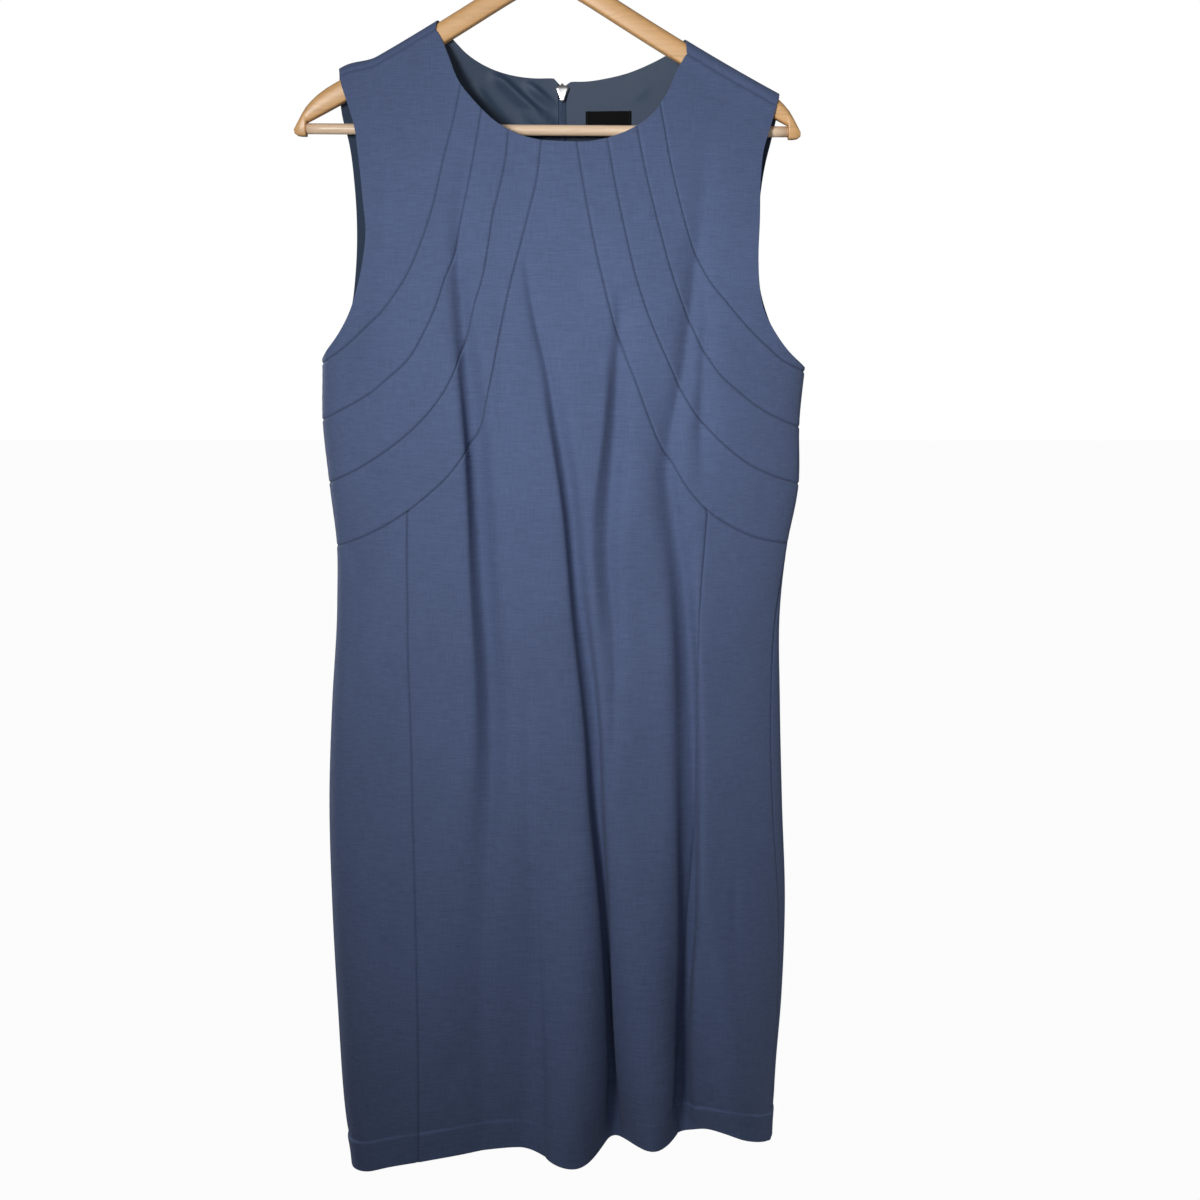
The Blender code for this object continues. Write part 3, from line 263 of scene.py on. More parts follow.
# Short drag lines: x and z of both ends, half width, depth.
DRAGS_FRONT = (
    (-176, -196, -120, -181, 3.2, 0.7), (-165, -205, -118, -196, 3.4, 0.5), (60, -181, 176, -222, 5, 0.6),
    (-190, -432, -150, -404, 5, 0.8), (-196, -462, -150, -440, 7, 0.8), (-192, -520, -150, -498, 8, 0.9),
    (216, -455, 176, -424, 5, 0.8), (214, -506, 172, -470, 7, 0.8), (208, -566, 168, -524, 8, 0.8),
    (-184, -610, -140, -585, 7, 0.8), (198, -610, 160, -590, 7, 0.7), (124, -850, 172, -1100, 9, 4.6),
    (-110, -700, -150, -760, 9, 0.8), (-60, -1000, -100, -1090, 10, 1), (-20, -560, 10, -640, 8, 0.6),
    (70, -600, 96, -700, 9, 0.7), (146, -700, 180, -800, 10, 0.7),
)
DRAGS_BACK = (
    (-180, -440, -100, -396, 6, 2), (-186, -500, -110, -468, 8, 2), (-180, -580, -120, -552, 8, 1.8),
    (206, -446, 130, -400, 6, 2), (206, -506, 130, -468, 8, 2), (196, -590, 130, -556, 8, 1.8),
    (-100, -622, -20, -644, 7, 1.6), (110, -630, 36, -652, 7, 1.6), (-70, -220, -36, -340, 8, 1.6),
    (98, -226, 58, -340, 8, 1.6),
)
DRAG_BOW = 2.5 * MM
# Where the front's folds are sharper than the construction's: which fold, then rows of the
# height, x of the bottom, width on its left and right, and how sharp it is there.
SHARP = (
    (0, ((-400, -73, 5, 12, 0), (-476, -67, 5, 14, 1), (-613, -60.5, 5.5, 16, 1), (-706, -54.5, 6.5, 18, 1),
         (-800, -52, 10, 18, 0.6), (-880, -53, 12, 20, 0))),
    (2, ((-400, 61, 5, 9, 0), (-430, 59.5, 5.5, 10, 1), (-490, 56, 6, 12, 1), (-560, 50.5, 6.5, 12, 1),
         (-640, 53, 7, 10, 1), (-700, 57, 7, 8, 0))),
    (1, ((-430, -1, 4, 10, 0), (-476, 6.6, 4.2, 10, 0.8), (-540, 16.5, 5, 10, 1), (-600, 23, 6, 9, 1),
         (-640, 27.5, 7, 8, 1), (-740, 38, 8, 7.5, 1), (-810, 42, 8.5, 8, 1), (-900, 49, 8.5, 8, 1),
         (-1020, 54, 9, 9, 0.8), (-1060, 56, 10, 10, 0.6), (-1120, 58, 12, 12, 0))),
    (3, ((-570, 113, 9, 9, 0), (-660, 121, 12, 8, 1), (-760, 124.5, 14, 8, 1), (-940, 124.5, 14, 8, 1),
         (-1020, 122, 14, 9, 0.9), (-1060, 121.5, 13, 10, 0.7), (-1120, 121, 12, 12, 0))),
)
SHARP_LIMIT = 9 * MM  # the most that they move the cloth
CREASE_POWER = 1.5
RELIEF_TOP = -225 * MM  # creases and swells grow from here down
RELIEF_RUN = 60 * MM
# A seam, in millimetres: its groove's depth and width, the height, place and width of the
# soft shoulder beside it, and the length of its puckers.
GROOVE = (0.85, 1.05)
SHOULDER = (0.1, 3.6, 2.4)
PUCKER = 9.5
# How much painted shade darkens the cloth in a seam's groove: height, share.
SEAM_SHADE = ((-1200, 0.12), (-850, 0.2), (-640, 0.3), (-560, 0.45), (-380, 0.45), (-200, 0.2))

SIDES = ((-1, "left"), (1, "right"))
# The finer cells of each kind of panel: about how wide it is and its cells across, then how
# long it is, its cells down and, where it has a hem, its length at the hem's spacing.
GRIDS = {
    "centre": ((0.2, 128), (0.95, 200, 1.1)),
    "band": ((0.036, 10), (0.42, 130)),
    "yoke": ((0.09, 34), (0.42, 150)),
    "skirt": ((0.08, 30), (0.57, 160, 0.59)),
    "back": ((0.24, 90), (1.02, 270, 1.41)),
    "lining": ((0.09, 72), (0.12, 70)),
    "label": ((0.033, 30), (0.02, 14)),
}
UV_SCALE = (0.21, 1)  # metres of cloth in each radian and each metre of height
NARROWEST = 10.1 * MM  # the least width that a sheet can be declared with
NEAR = np.array((0.25, 0.6, 1.1, 1.9, 3.2, 5.2)) * MM  # fine cells beside an edge


# Curves and the surface


def hermite(at, knots, values):
    """A smooth curve through (knots, values), read at the given places."""
    knots = np.asarray(knots, float)
    values = np.asarray(values, float)
    steps = np.diff(knots)
    slopes = np.diff(values) / steps
    tangents = np.empty_like(values)
    tangents[0], tangents[-1] = slopes[0], slopes[-1]
    weights = steps[1:] + steps[:-1]
    tangents[1:-1] = (slopes[:-1] * steps[1:] + slopes[1:] * steps[:-1]) / weights
    at = np.clip(at, knots[0], knots[-1])
    i = np.clip(np.searchsorted(knots, at, side="right") - 1, 0, len(steps) - 1)
    h = steps[i]
    t = (at - knots[i]) / h
    first = (1 + 2 * t) * (1 - t) ** 2 * values[i] + t * (1 - t) ** 2 * h * tangents[i]
    return first + t**2 * (3 - 2 * t) * values[i + 1] + t**2 * (t - 1) * h * tangents[i + 1]


def from_table(table, column, z):
    """A smooth curve down a column of a table in millimetres."""
    rows = np.array(table, float)[::-1] * MM
    return hermite(z, rows[:, 0], rows[:, column])


def within(table, z):
    """Which heights lie between the table's first and last."""
    return (z > table[-1][0] * MM) & (z < table[0][0] * MM)


def lengths(points):
    """Length along a line of points, from its first."""
    return np.concatenate([[0], np.cumsum(np.linalg.norm(np.diff(points, axis=0), axis=1))])


def sampled(curve, along, places):
    """The curve at places, which are measured as along is."""
    return np.stack([np.interp(places, along, column) for column in curve.T], axis=-1)


def through(points, count=160):
    """A dense smooth curve through points given in millimetres."""
    points = np.array(points, float) * MM
    along = lengths(points)
    places = np.linspace(0, along[-1], count)
    return np.stack([hermite(places, along, column) for column in points.T], axis=1)


def arm_line(x):
    """The height of the cloth's bend over the arm: the centre of its half ellipse."""
    down = HANGER_HALF - np.sqrt(x**2 + ARM_APEX_ROUND**2)
    top = ARM_TIP_Z + ARM_SLOPE * down + ARM_CURVE * down**2 - HANGER_TILT * x
    return top - WRAP_Z - WALL / 2


def shoulder_line(x):
    """The same line for the cloth, which stands off the arm at the left tip."""
    share = np.clip((-x - TIP_LIFT_FROM) / TIP_LIFT_RUN, 0, 1)
    return arm_line(x) + TIP_LIFT * share**2 * (3 - 2 * share)


def edges_at(z):
    """The middle and half width of the section."""
    left, right = (from_table(SECTION, k, z) for k in (1, 2))
    return (left + right) / 2, (right - left) / 2


def angle_of(x, z, behind=False):
    """The angle round the body of a point of the front or the back."""
    middle, half = edges_at(z)
    angle = np.arcsin(np.clip((x - middle) / half, -1, 1))
    return math.pi - angle if behind else angle


def fold_depth(folds, x, z, power=2.0):
    """How far folds push the cloth in from its plain surface. A low power is a sharp fold."""
    total = np.zeros_like(x)
    for fold in folds:
        middle, left, right, depth = (from_table(fold, k, z) for k in (1, 2, 3, 4))
        away = (x - middle) / np.where(x < middle, left, right)
        total += np.where(within(fold, z), depth, 0) * np.exp(-(np.abs(away) ** power))
    return total


def surface(angle, height):
    """Points of the cloth's middle layer."""
    angle, height = np.broadcast_arrays(np.asarray(angle, float), np.asarray(height, float))
    middle, half = edges_at(height)
    x = middle + half * np.sin(angle)
    bend = shoulder_line(x)
    behind = np.cos(angle) < 0
    over = behind & (height > bend)
    round_arm = (height - bend) / WRAP_LENGTH * math.pi
    past = over & (round_arm > math.pi)
    z = np.where(past, 2 * bend + WRAP_LENGTH - height, np.minimum(height, bend))
    below = bend - z
    grown = below**2 / (below**2 + DRAPE_START**2)
    in_front = ~behind | past
    plain = np.where(in_front, from_table(SECTION, 3, z), from_table(SECTION, 4, z))
    roundness = from_table(SECTION, 5, z) / MM
    profile = np.abs(np.cos(angle)) ** np.maximum(roundness, 0)
    facing = np.where(in_front, -1.0, 1.0)
    depth = (WRAP_Y + plain * grown) * profile
    calm = np.cos(angle) ** 2 * grown
    folds = np.where(in_front, fold_depth(FOLDS_FRONT, x, z), fold_depth(FOLDS_BACK, x, z))
    y = facing * (depth - folds * calm)
    share = (x - middle) / half
    y = y + from_table(SWING, 1, z) * ((1 - share) / 2) ** 2
    y = y + from_table(SWING, 2, z) * ((1 + share) / 2) ** 2
    bent = over & ~past
    y = np.where(bent, WRAP_Y * np.cos(round_arm), y)
    z = np.where(bent, bend + WRAP_Z * np.sin(round_arm), z)
    return np.stack([x, y, z], axis=-1)


def normals(angle, height):
    """Outward normals of the surface."""
    step_a, step_h = 0.004, 0.4 * MM
    across = surface(angle + step_a, height) - surface(angle - step_a, height)
    up = surface(angle, height + step_h) - surface(angle, height - step_h)
    normal = np.cross(across, up)
    return normal / np.linalg.norm(normal, axis=-1, keepdims=True)


def laid(grid):
    """Points and outward normals of the surface at a grid of plan points."""
    return surface(grid[..., 0], grid[..., 1]), normals(grid[..., 0], grid[..., 1])


def plan(points, behind=False):
    """(angle, height) of points given as x and z, in metres."""
    return np.stack([angle_of(points[:, 0], points[:, 1], behind), points[:, 1]], axis=1)


def plan_point(point, behind=False):
    """The same of one point given in millimetres."""
    return plan(np.array([point], float) * MM, behind)[0]


def evenly(curve, cells):
    """The plan curve again, with cells + 1 points evenly spaced on the cloth."""
    along = lengths(surface(curve[:, 0], curve[:, 1]))
    return sampled(curve, along, np.linspace(0, along[-1], cells + 1))


# Surface detail


def along_line(row, x, z):
    """Places along and across the line between a row's two ends, and its length."""
    x0, z0, x1, z1 = (v * MM for v in row[:4])
    length = math.hypot(x1 - x0, z1 - z0)
    along = ((x - x0) * (x1 - x0) + (z - z0) * (z1 - z0)) / length
    return along, ((x - x0) * (z1 - z0) - (z - z0) * (x1 - x0)) / length, length


def drag_depth(drags, x, z):
    """Slightly bowed lines that fade towards both ends."""
    total = np.zeros_like(x)
    for row in drags:
        along, across, length = along_line(row, x, z)
        swell = np.sin(math.pi * np.clip(along / length, 0, 1))
        fade = swell**2 * ((along > 0) & (along < length))
        away = (across - DRAG_BOW * swell) / (row[4] * MM)
        total += row[5] * MM * fade * np.exp(-(away**2))
    return total


def sharpened(x, z):
    """How much further in the sharp folds run than the plain surface has them."""
    total = np.zeros_like(x)
    for number, rows in SHARP:
        fold = FOLDS_FRONT[number]
        bottom, left, right, share = (from_table(rows, k, z) for k in (1, 2, 3, 4))
        away = np.abs(x - bottom) / np.where(x < bottom, left, right)
        valley = 1.15 * np.exp(-(away**2.6))
        change = share / MM * (from_table(fold, 4, z) * valley - fold_depth((fold,), x, z))
        total += np.where(within(rows, z), SHARP_LIMIT * np.tanh(change / SHARP_LIMIT), 0)
    return total


def unevenness(x, z, shift):
    """Slow swells that keep hanging cloth from being perfectly smooth."""
    x, z = x / MM, z / MM
    swell = np.sin(x / 23 + 1.3 * np.sin(z / 140 + shift) + shift)
    swell += 0.7 * np.sin(x / 13.5 - z / 210 + 2.1 * shift)
    swell += 0.5 * np.sin(z / 47 + 1.1 * np.sin(x / 60 + shift) + 3 * shift)
    return 0.28 * MM * swell


def relief(points, behind):
    """How far creases and swells move the cloth out of its plain surface."""
    x, z = points[..., 0], points[..., 2]
    below = np.clip((RELIEF_TOP - z) / RELIEF_RUN, 0, 1)
    creases, drags = (CREASES_BACK, DRAGS_BACK) if behind else (CREASES_FRONT, DRAGS_FRONT)
    out = -fold_depth(creases, x, z, CREASE_POWER) - drag_depth(drags, x, z)
    if behind:
        return (out + unevenness(x, z, 2.2)) * below
    return (out + unevenness(x, z, 0.4) - sharpened(x, z)) * (0.25 + 0.75 * below)


def running(points, axis):
    """Length along the grid's rows or columns, from the first point."""
    steps = np.linalg.norm(np.diff(points, axis=axis), axis=-1)
    lead = [(1, 0), (0, 0)] if axis == 0 else [(0, 0), (1, 0)]
    return np.cumsum(np.pad(steps, lead), axis=axis)


def edge_distances(points):
    """For each of the four edges: distance from it, and length along it."""
    down, across = running(points, 0), running(points, 1)
    shape = down.shape
    return {
        "top": (down, np.broadcast_to(across[:1], shape)),
        "bottom": (down[-1:] - down, np.broadcast_to(across[-1:], shape)),
        "left": (across, np.broadcast_to(down[:, :1], shape)),
        "right": (across[:, -1:] - across, np.broadcast_to(down[:, -1:], shape)),
    }


def openness(kind, shape, edge):
    """1 where an edge is open and 0 where it is a seam, spread over the grid."""
    kind = np.asarray(kind, float)
    if kind.ndim == 0:
        return np.full(shape, float(kind))
    spread = kind[None, :] if edge in ("top", "bottom") else kind[:, None]
    return np.broadcast_to(spread, shape)


def seam_relief(distance, along, pucker, shift):
    """A seam's groove with soft shoulders, and small puckers beside it."""
    d, s = distance / MM, along / MM
    groove = -GROOVE[0] * np.exp(-((d / GROOVE[1]) ** 2))
    groove += SHOULDER[0] * np.exp(-(((d - SHOULDER[1]) / SHOULDER[2]) ** 2))
    wave = np.sin(2 * math.pi * s / PUCKER + 1.4 * np.sin(s / 31 + shift) + shift)
    uneven = 0.55 + 0.45 * np.sin(s / 41 + 2 * shift)
    return MM * (groove + pucker * uneven * wave * np.exp(-d / 5.5) * np.minimum(d / 1.5, 1))


def dressed(grid, edges, puckers, shift, behind):
    """Middle points, normals, half thickness and closeness to a seam of a panel's cloth, which masks the
    painted shade in the seams' grooves.
    The edges that are open, wholly or in part, are named. The others are seams."""
    points, normal = laid(grid)
    lift = relief(points, behind)
    open_distance = np.full(points.shape[:2], 1.0)
    painted_seam_shade = np.zeros(points.shape[:2])
    for number, (edge, (distance, along)) in enumerate(edge_distances(points).items()):
        free = openness(edges.get(edge, 0), distance.shape, edge)
        lift = lift + (1 - free) * seam_relief(distance, along, puckers, shift + number)
        open_distance = np.minimum(open_distance, np.where(free > 0.5, distance, 1.0))
        painted_seam_shade = np.maximum(painted_seam_shade, (1 - free) * np.exp(-((distance / (0.95 * MM)) ** 2)))
    turn = np.clip(open_distance / (0.9 * MM), 0, 1)
    half = CLOTH / 2 * (0.25 + 0.75 * np.sqrt(1 - (1 - turn) ** 2))
    return points + lift[..., None] * normal, normal, half, painted_seam_shade


# Meshes


def link(name, points, faces, material, smooth=True):
    mesh = bpy.data.meshes.new(name)
    mesh.from_pydata([tuple(p) for p in points], [], faces)
    mesh.materials.append(material)
    if smooth:
        mesh.shade_smooth()
    mesh.update()
    obj = bpy.data.objects.new(name, mesh)
    bpy.context.scene.collection.objects.link(obj)
    return obj


def wall_faces(rows, columns, flip):
    """Faces of a closed wall: its outer grid, its inner grid and the rim between them."""
    count = rows * columns
    index = np.arange(count).reshape(rows, columns)
    quads = np.stack([index[:-1, :-1], index[1:, :-1], index[1:, 1:], index[:-1, 1:]], -1)
    quads = quads.reshape(-1, 4)
    ring = np.concatenate([index[0], index[1:, -1], index[-1, -2::-1], index[-2:0:-1, 0]])
    after = np.roll(ring, -1)
    rim = np.stack([ring, after, count + after, count + ring], -1)
    faces = np.concatenate([quads, count + quads[:, ::-1], rim])
    return (faces[:, ::-1] if flip else faces).tolist()


def put_uv(obj, uv):
    """UV of each point, in metres of cloth, so that the weave has its real scale."""
    layer = obj.data.uv_layers.new(name="cloth")
    index = np.empty(len(obj.data.loops), np.int32)
    obj.data.loops.foreach_get("vertex_index", index)
    layer.data.foreach_set("uv", uv[index].ravel())


def put_value(obj, name, values):
    """A number at each point, which the material reads."""
    obj.data.attributes.new(name, "FLOAT", "POINT").data.foreach_set("value", values)


def shell(name, middle, normal, outer, inner, grid, material):
    """A closed shell from a grid of middle points, with its offsets along the normals."""
    rows, columns = middle.shape[:2]
    first = np.cross(middle[1, 0] - middle[0, 0], middle[0, 1] - middle[0, 0])
    flip = float(first @ normal[0, 0]) < 0
    points = np.stack([middle + outer[..., None] * normal, middle - inner[..., None] * normal])
    obj = link(name, points.reshape(-1, 3), wall_faces(rows, columns, flip), material)
    put_uv(obj, np.tile((grid * UV_SCALE).reshape(-1, 2), (2, 1)))
    put_value(obj, "inside", np.repeat([0.0, 1.0], rows * columns))
    return obj


def declare(obj, slot, *nodes, body="dress"):
    """What the piece moves with and which nodes it stands for, which are hidden. Its slot is not used."""
    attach(obj, body)
    if nodes:
        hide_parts(*nodes)


def declare_sheet(middle, rests_on):
    """Measures how large the piece was cut, and keeps nothing of it."""
    across, down = running(middle, 1)[:, -1].max(), running(middle, 0)[-1].max()
    a, b = middle[1:, :-1] - middle[:-1, :-1], middle[:-1, 1:] - middle[:-1, :-1]
    area = float(np.linalg.norm(np.cross(a, b), axis=-1).sum())
    across, down = max(float(across), NARROWEST), float(down)
    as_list(rests_on)


def spread(length, cells, hem=None):
    """Places from 0 to 1: even cells, with finer ones beside both ends and at a hem's stitches,
    which are placed by the length that the whole side would have at the hem's spacing."""
    near = NEAR / length
    even = np.linspace(0, 1, cells + 1)
    even = even[(even > near[-1] * 1.25) & (even < 1 - near[-1] * 1.25)]
    if hem:
        first, last = 1 - (HEM_DEPTH + 5 * MM) / hem, 1 - (HEM_DEPTH - 5 * MM) / hem
        even = even[(even < first) | (even > last)]
        even = np.sort(np.concatenate([even, np.linspace(first, last, 16)]))
    return np.concatenate([[0], near, even, 1 - near[::-1], [1]])


def grid_places(kind):
    """Places across and down a panel, from 0 to 1."""
    return [spread(*row) for row in GRIDS[kind]]


def at(curve, places):
    """Points of a dense curve at places from 0 to 1."""
    return sampled(curve, np.linspace(0, 1, len(curve)), places)


def patch(curves, s, t, weights=None):
    """A grid of plan points between four dense curves: top, bottom, left and right."""
    upper, lower = (1 - t, t) if weights is None else weights
    left, right = at(curves[2], t), at(curves[3], t)
    share = s[:, None]
    bowed = [at(c, s) - (1 - share) * c[0] - share * c[-1] for c in curves[:2]]
    ruled = (1 - share) * left[:, None] + share * right[:, None]
    return ruled + upper[:, None, None] * bowed[0] + lower[:, None, None] * bowed[1]


# Seams and edges, as dense curves


def side_curve(side, z):
    """Plan points of a side seam at the given heights."""
    if side < 0:
        return np.stack([np.full_like(z, -math.pi / 2), z], axis=-1)
    ahead = np.radians(from_table(SEAM_FORWARD, 1, z) / MM)
    return np.stack([math.pi / 2 - ahead, z], axis=-1)


def side_piece(side, first, last, cells):
    return side_curve(side, np.linspace(first, last, cells * DENSE + 1))


def on_side(side, points):
    """A seam's dense curve whose end lies exactly on the side seam."""
    *others, (_, z) = points
    end = side_curve(side, z * MM)
    middle, half = edges_at(z * MM)
    curve = plan(through([*others, (float(middle + half * math.sin(end[0])) / MM, z)]))
    curve[-1] = end
    return curve


def nearest(curve, point, weights=1.0):
    """Which point of the curve lies nearest."""
    return int(np.argmin(np.linalg.norm((curve - point) * weights, axis=1)))


def cut(curve, point):
    """The plan curve in two at its place nearest to a point."""
    i = min(max(nearest(curve, point, (0.2, 1)), 1), len(curve) - 2)
    return curve[: i + 1], curve[i:]


def split(curve, points):
    """The curve in pieces between the given points of it."""
    pieces = []
    for point in points:
        i = nearest(curve, point)
        pieces.append(curve[: i + 1])
        curve = curve[i:]
    return [*pieces, curve]


def join(*pieces):
    return np.concatenate([pieces[0], *[piece[1:] for piece in pieces[1:]]])


def front_curves():
    """Every seam and edge of the front, made once and shared by its neighbours."""
    neck, hem = plan(through(NECK_FRONT, 600)), plan(through(HEM_FRONT, 600))
    for end, side in ((0, -1), (-1, 1)):
        hem[end] = side_curve(side, hem[end, 1])
    curves, neck_cuts = {}, []
    for side, seams, princess, joint in (
        (-1, SEAMS_LEFT, PRINCESS_LEFT, JOIN_LEFT),
        (1, SEAMS_RIGHT, PRINCESS_RIGHT, JOIN_RIGHT),
    ):
        for number, points in enumerate(seams, 1):
            curve = on_side(side, points)
            start = neck[nearest(neck, curve[0])]
            curve[:40] += np.linspace(1, 0, 40)[:, None] ** 2 * (start - curve[0])
            neck_cuts.append(start)
            if number < 4:
                curves[side, number] = evenly(curve, sum(SEAM_CELLS) * DENSE)
        parts = zip(cut(curve, plan_point(points[joint])), SEAM_CELLS)
        upper, lower = (evenly(part, cells * DENSE) for part, cells in parts)
        curves[side, 4] = join(upper, lower)
        curves[side, "upper"], curves[side, "lower"] = upper, lower
        skirt = plan(through(princess))
        skirt[0] = upper[-1]
        end = hem[nearest(hem, skirt[-1], (1, 0))]
        skirt = np.concatenate([skirt[skirt[:, 1] > end[1] + 3 * MM], [end]])
        curves[side, "princess"] = evenly(skirt, SKIRT_CELLS * DENSE)
    curves["neck"] = split(neck, sorted(neck_cuts, key=lambda p: p[0]))
    curves["hem"] = split(hem, [curves[side, "princess"][-1] for side in (-1, 1)])
    return curves


def neck_piece(curves, side, number):
    """A piece of the neckline, counted from the shoulder and running towards the middle."""
    return curves["neck"][number] if side < 0 else curves["neck"][8 - number][::-1]


def over_arm(over, edge):
    """A back edge's dense curve over the arm and down, and where it leaves the arm."""
    bend = [(x, float(shoulder_line(x * MM) + share * WRAP_LENGTH) / MM) for x, share in over]
    curve = plan(through([*bend, *edge], 400), behind=True)
    return curve, int(np.argmin(np.abs(curve[:, 1] - bend[-1][1] * MM)))


class Back:
    """A back panel's plan points at any place across it and down it."""

    def __init__(self, curves, side, centre_shares, armhole_over, armhole, neck_over, neck):
        turn = (2 * math.pi if side < 0 else 0.0, 0)
        edge, i = over_arm(armhole_over, armhole)
        edge[-1] = side_curve(side, edge[-1, 1]) + turn
        outer = [evenly(edge[: i + 1], WRAP_CELLS * DENSE)]
        outer.append(evenly(edge[i:], (ARMHOLE_CELLS - WRAP_CELLS) * DENSE))
        hem = curves["hem"][0][0] if side < 0 else curves["hem"][2][-1]
        heights = [edge[-1, 1], *(curves[side, k][-1, 1] for k in (1, 2, 3, 4)), hem[1]]
        cells = (1, BAND_CELLS, BAND_CELLS, BAND_CELLS, SKIRT_CELLS)
        for first, last, count in zip(heights, heights[1:], cells):
            outer.append(side_piece(side, first, last, count) + turn)
        outer = join(*outer)
        self.rows = ARMHOLE_CELLS + sum(cells)
        self.columns = sum(BACK_TOP_CELLS) + 1

        neckline, i = over_arm(neck_over, neck)
        foot = plan_point(NOTCH, behind=True)
        x = np.linspace(armhole_over[0][0] * MM, neck_over[0][0] * MM, 60)
        lift = armhole_over[0][1] * WRAP_LENGTH
        shoulder = plan(np.stack([x, shoulder_line(x) + lift], axis=1), behind=True)
        shoulder[0], shoulder[-1] = outer[0], neckline[0]
        top = zip((shoulder, neckline[: i + 1], neckline[i:]), BACK_TOP_CELLS)
        down = (foot - neckline[-1]) * np.linspace(0, 1, DENSE + 1)[:, None]
        top = join(*(evenly(part, cells * DENSE) for part, cells in top), neckline[-1] + down)
        if centre_shares is None:
            centre_shares = lengths(outer[:, 1:])
            centre_shares /= centre_shares[-1]
        self.shares = centre_shares
        z = foot[1] + (HEM_BACK_Z - foot[1]) * centre_shares
        centre = plan(np.stack([np.full_like(z, NOTCH[0] * MM), z], axis=1), behind=True)
        s = np.linspace(0, 1, 200)[:, None]
        bottom = evenly(outer[-1] + (centre[-1] - outer[-1]) * s, self.columns * DENSE)
        self.curves = (top, bottom, outer, centre)

    def plan(self, s, t):
        own = np.linspace(0, 1, len(self.shares))
        start, shares = (np.interp(v, own, self.shares) for v in (WRAP_CELLS / self.rows, t))
        past_arm = np.clip((shares - start) / (1 - start), 0, 1)
        return patch(self.curves, s, t, ((1 - past_arm) ** 6, past_arm))


# Cloth pieces


def cloth_piece(name, node, grid, edges, rests_on, puckers=0.16, behind=False):
    """A panel of the dress. Where its bottom is open, it has a turned hem."""
    shift = 0.7 * len(name) + (1.3 if "right" in name else 0.0)
    middle, normal, half, painted_seam_shade = dressed(grid, edges, puckers, shift, behind)
    inner = half.copy()
    hem_highlight = np.zeros_like(half)
    if edges.get("bottom"):
        up = running(middle, 0)
        up = up[-1:] - up
        turned = np.clip((HEM_DEPTH - up) / (1.2 * MM), 0, 1) * np.clip(up / (1.5 * MM), 0, 1)
        inner = inner + 0.8 * MM * turned
        ledge = (up - HEM_DEPTH) / MM
        lift = 0.8 * np.tanh(-ledge / 0.9) * np.exp(-((ledge / 9) ** 2))
        uneven = 0.7 + 0.3 * np.sin(middle[..., 0] / (17 * MM) + shift)
        if not behind:  # smoother in the middle
            away = np.abs(middle[..., 0] - 40 * MM) / MM
            uneven = uneven * (0.15 + 0.85 * np.clip((away - 60) / 30, 0, 1))
        middle = middle + (lift * uneven * MM)[..., None] * normal
        # A painted highlight: the cloth is lighter along the hem's stitch line, as if it caught the light
        # there.
        hem_highlight = uneven * np.exp(-((ledge / 1.1) ** 2))
    obj = shell(name, middle, normal, half, inner, grid, dress_cloth(name))
    # Painted shade in the seams' grooves, stronger over the bodice than near the hem.
    painted_seam_shade = painted_seam_shade * np.interp(middle[..., 2] / MM, *zip(*SEAM_SHADE))
    for key, values in (("hem_highlight", hem_highlight), ("painted_seam_shade", painted_seam_shade)):
        put_value(obj, key, np.tile(values.ravel(), 2))
    declare(obj, "dress_cloth", node)
    declare_sheet(middle, rests_on)


def mark(places, first, last):
    """1 at the places between two breaks, 0 elsewhere."""
    return ((places >= first) & (places <= last)).astype(float)


def make_front(curves):
    """The centre panel and, on each side, three bands, the yoke and the skirt panel."""
    seams = [join(curves[side, "upper"], curves[side, "princess"]) for side, _ in SIDES]
    grid = patch((curves["neck"][4], curves["hem"][1], *seams), *grid_places("centre"))
    arms = [f"hanger_arm_{word}" for _, word in SIDES]
    cloth_piece("centre_cloth", "front_centre", grid, {"top": 1, "bottom": 1}, arms)
    for (side, word), arm, armhole in zip(SIDES, arms, (ARMHOLE_FRONT_LEFT, ARMHOLE_FRONT_RIGHT)):
        for number in (1, 2, 3):
            upper, lower = curves[side, number], curves[side, number + 1]
            neck = evenly(neck_piece(curves, side, number), BAND_CELLS * DENSE)
            end = side_piece(side, upper[-1, 1], lower[-1, 1], BAND_CELLS)
            grid = patch((neck, end, upper, lower), *grid_places("band"))
            name = f"{word}_{number}"
            cloth_piece("band_cloth_" + name, "front_band_" + name, grid, {"top": 1}, [arm], 0.2)
        make_yoke(curves, side, word, armhole)
        top = curves[side, "lower"]
        hem = curves["hem"][0][::-1] if side < 0 else curves["hem"][2]
        bottom = evenly(hem, SEAM_CELLS[1] * DENSE)
        end = side_piece(side, top[-1, 1], bottom[-1, 1], SKIRT_CELLS)
        grid = patch((top, bottom, curves[side, "princess"], end), *grid_places("skirt"))
        cloth_piece(f"skirt_cloth_{word}", f"front_skirt_{word}", grid, {"bottom": 1}, [arm])


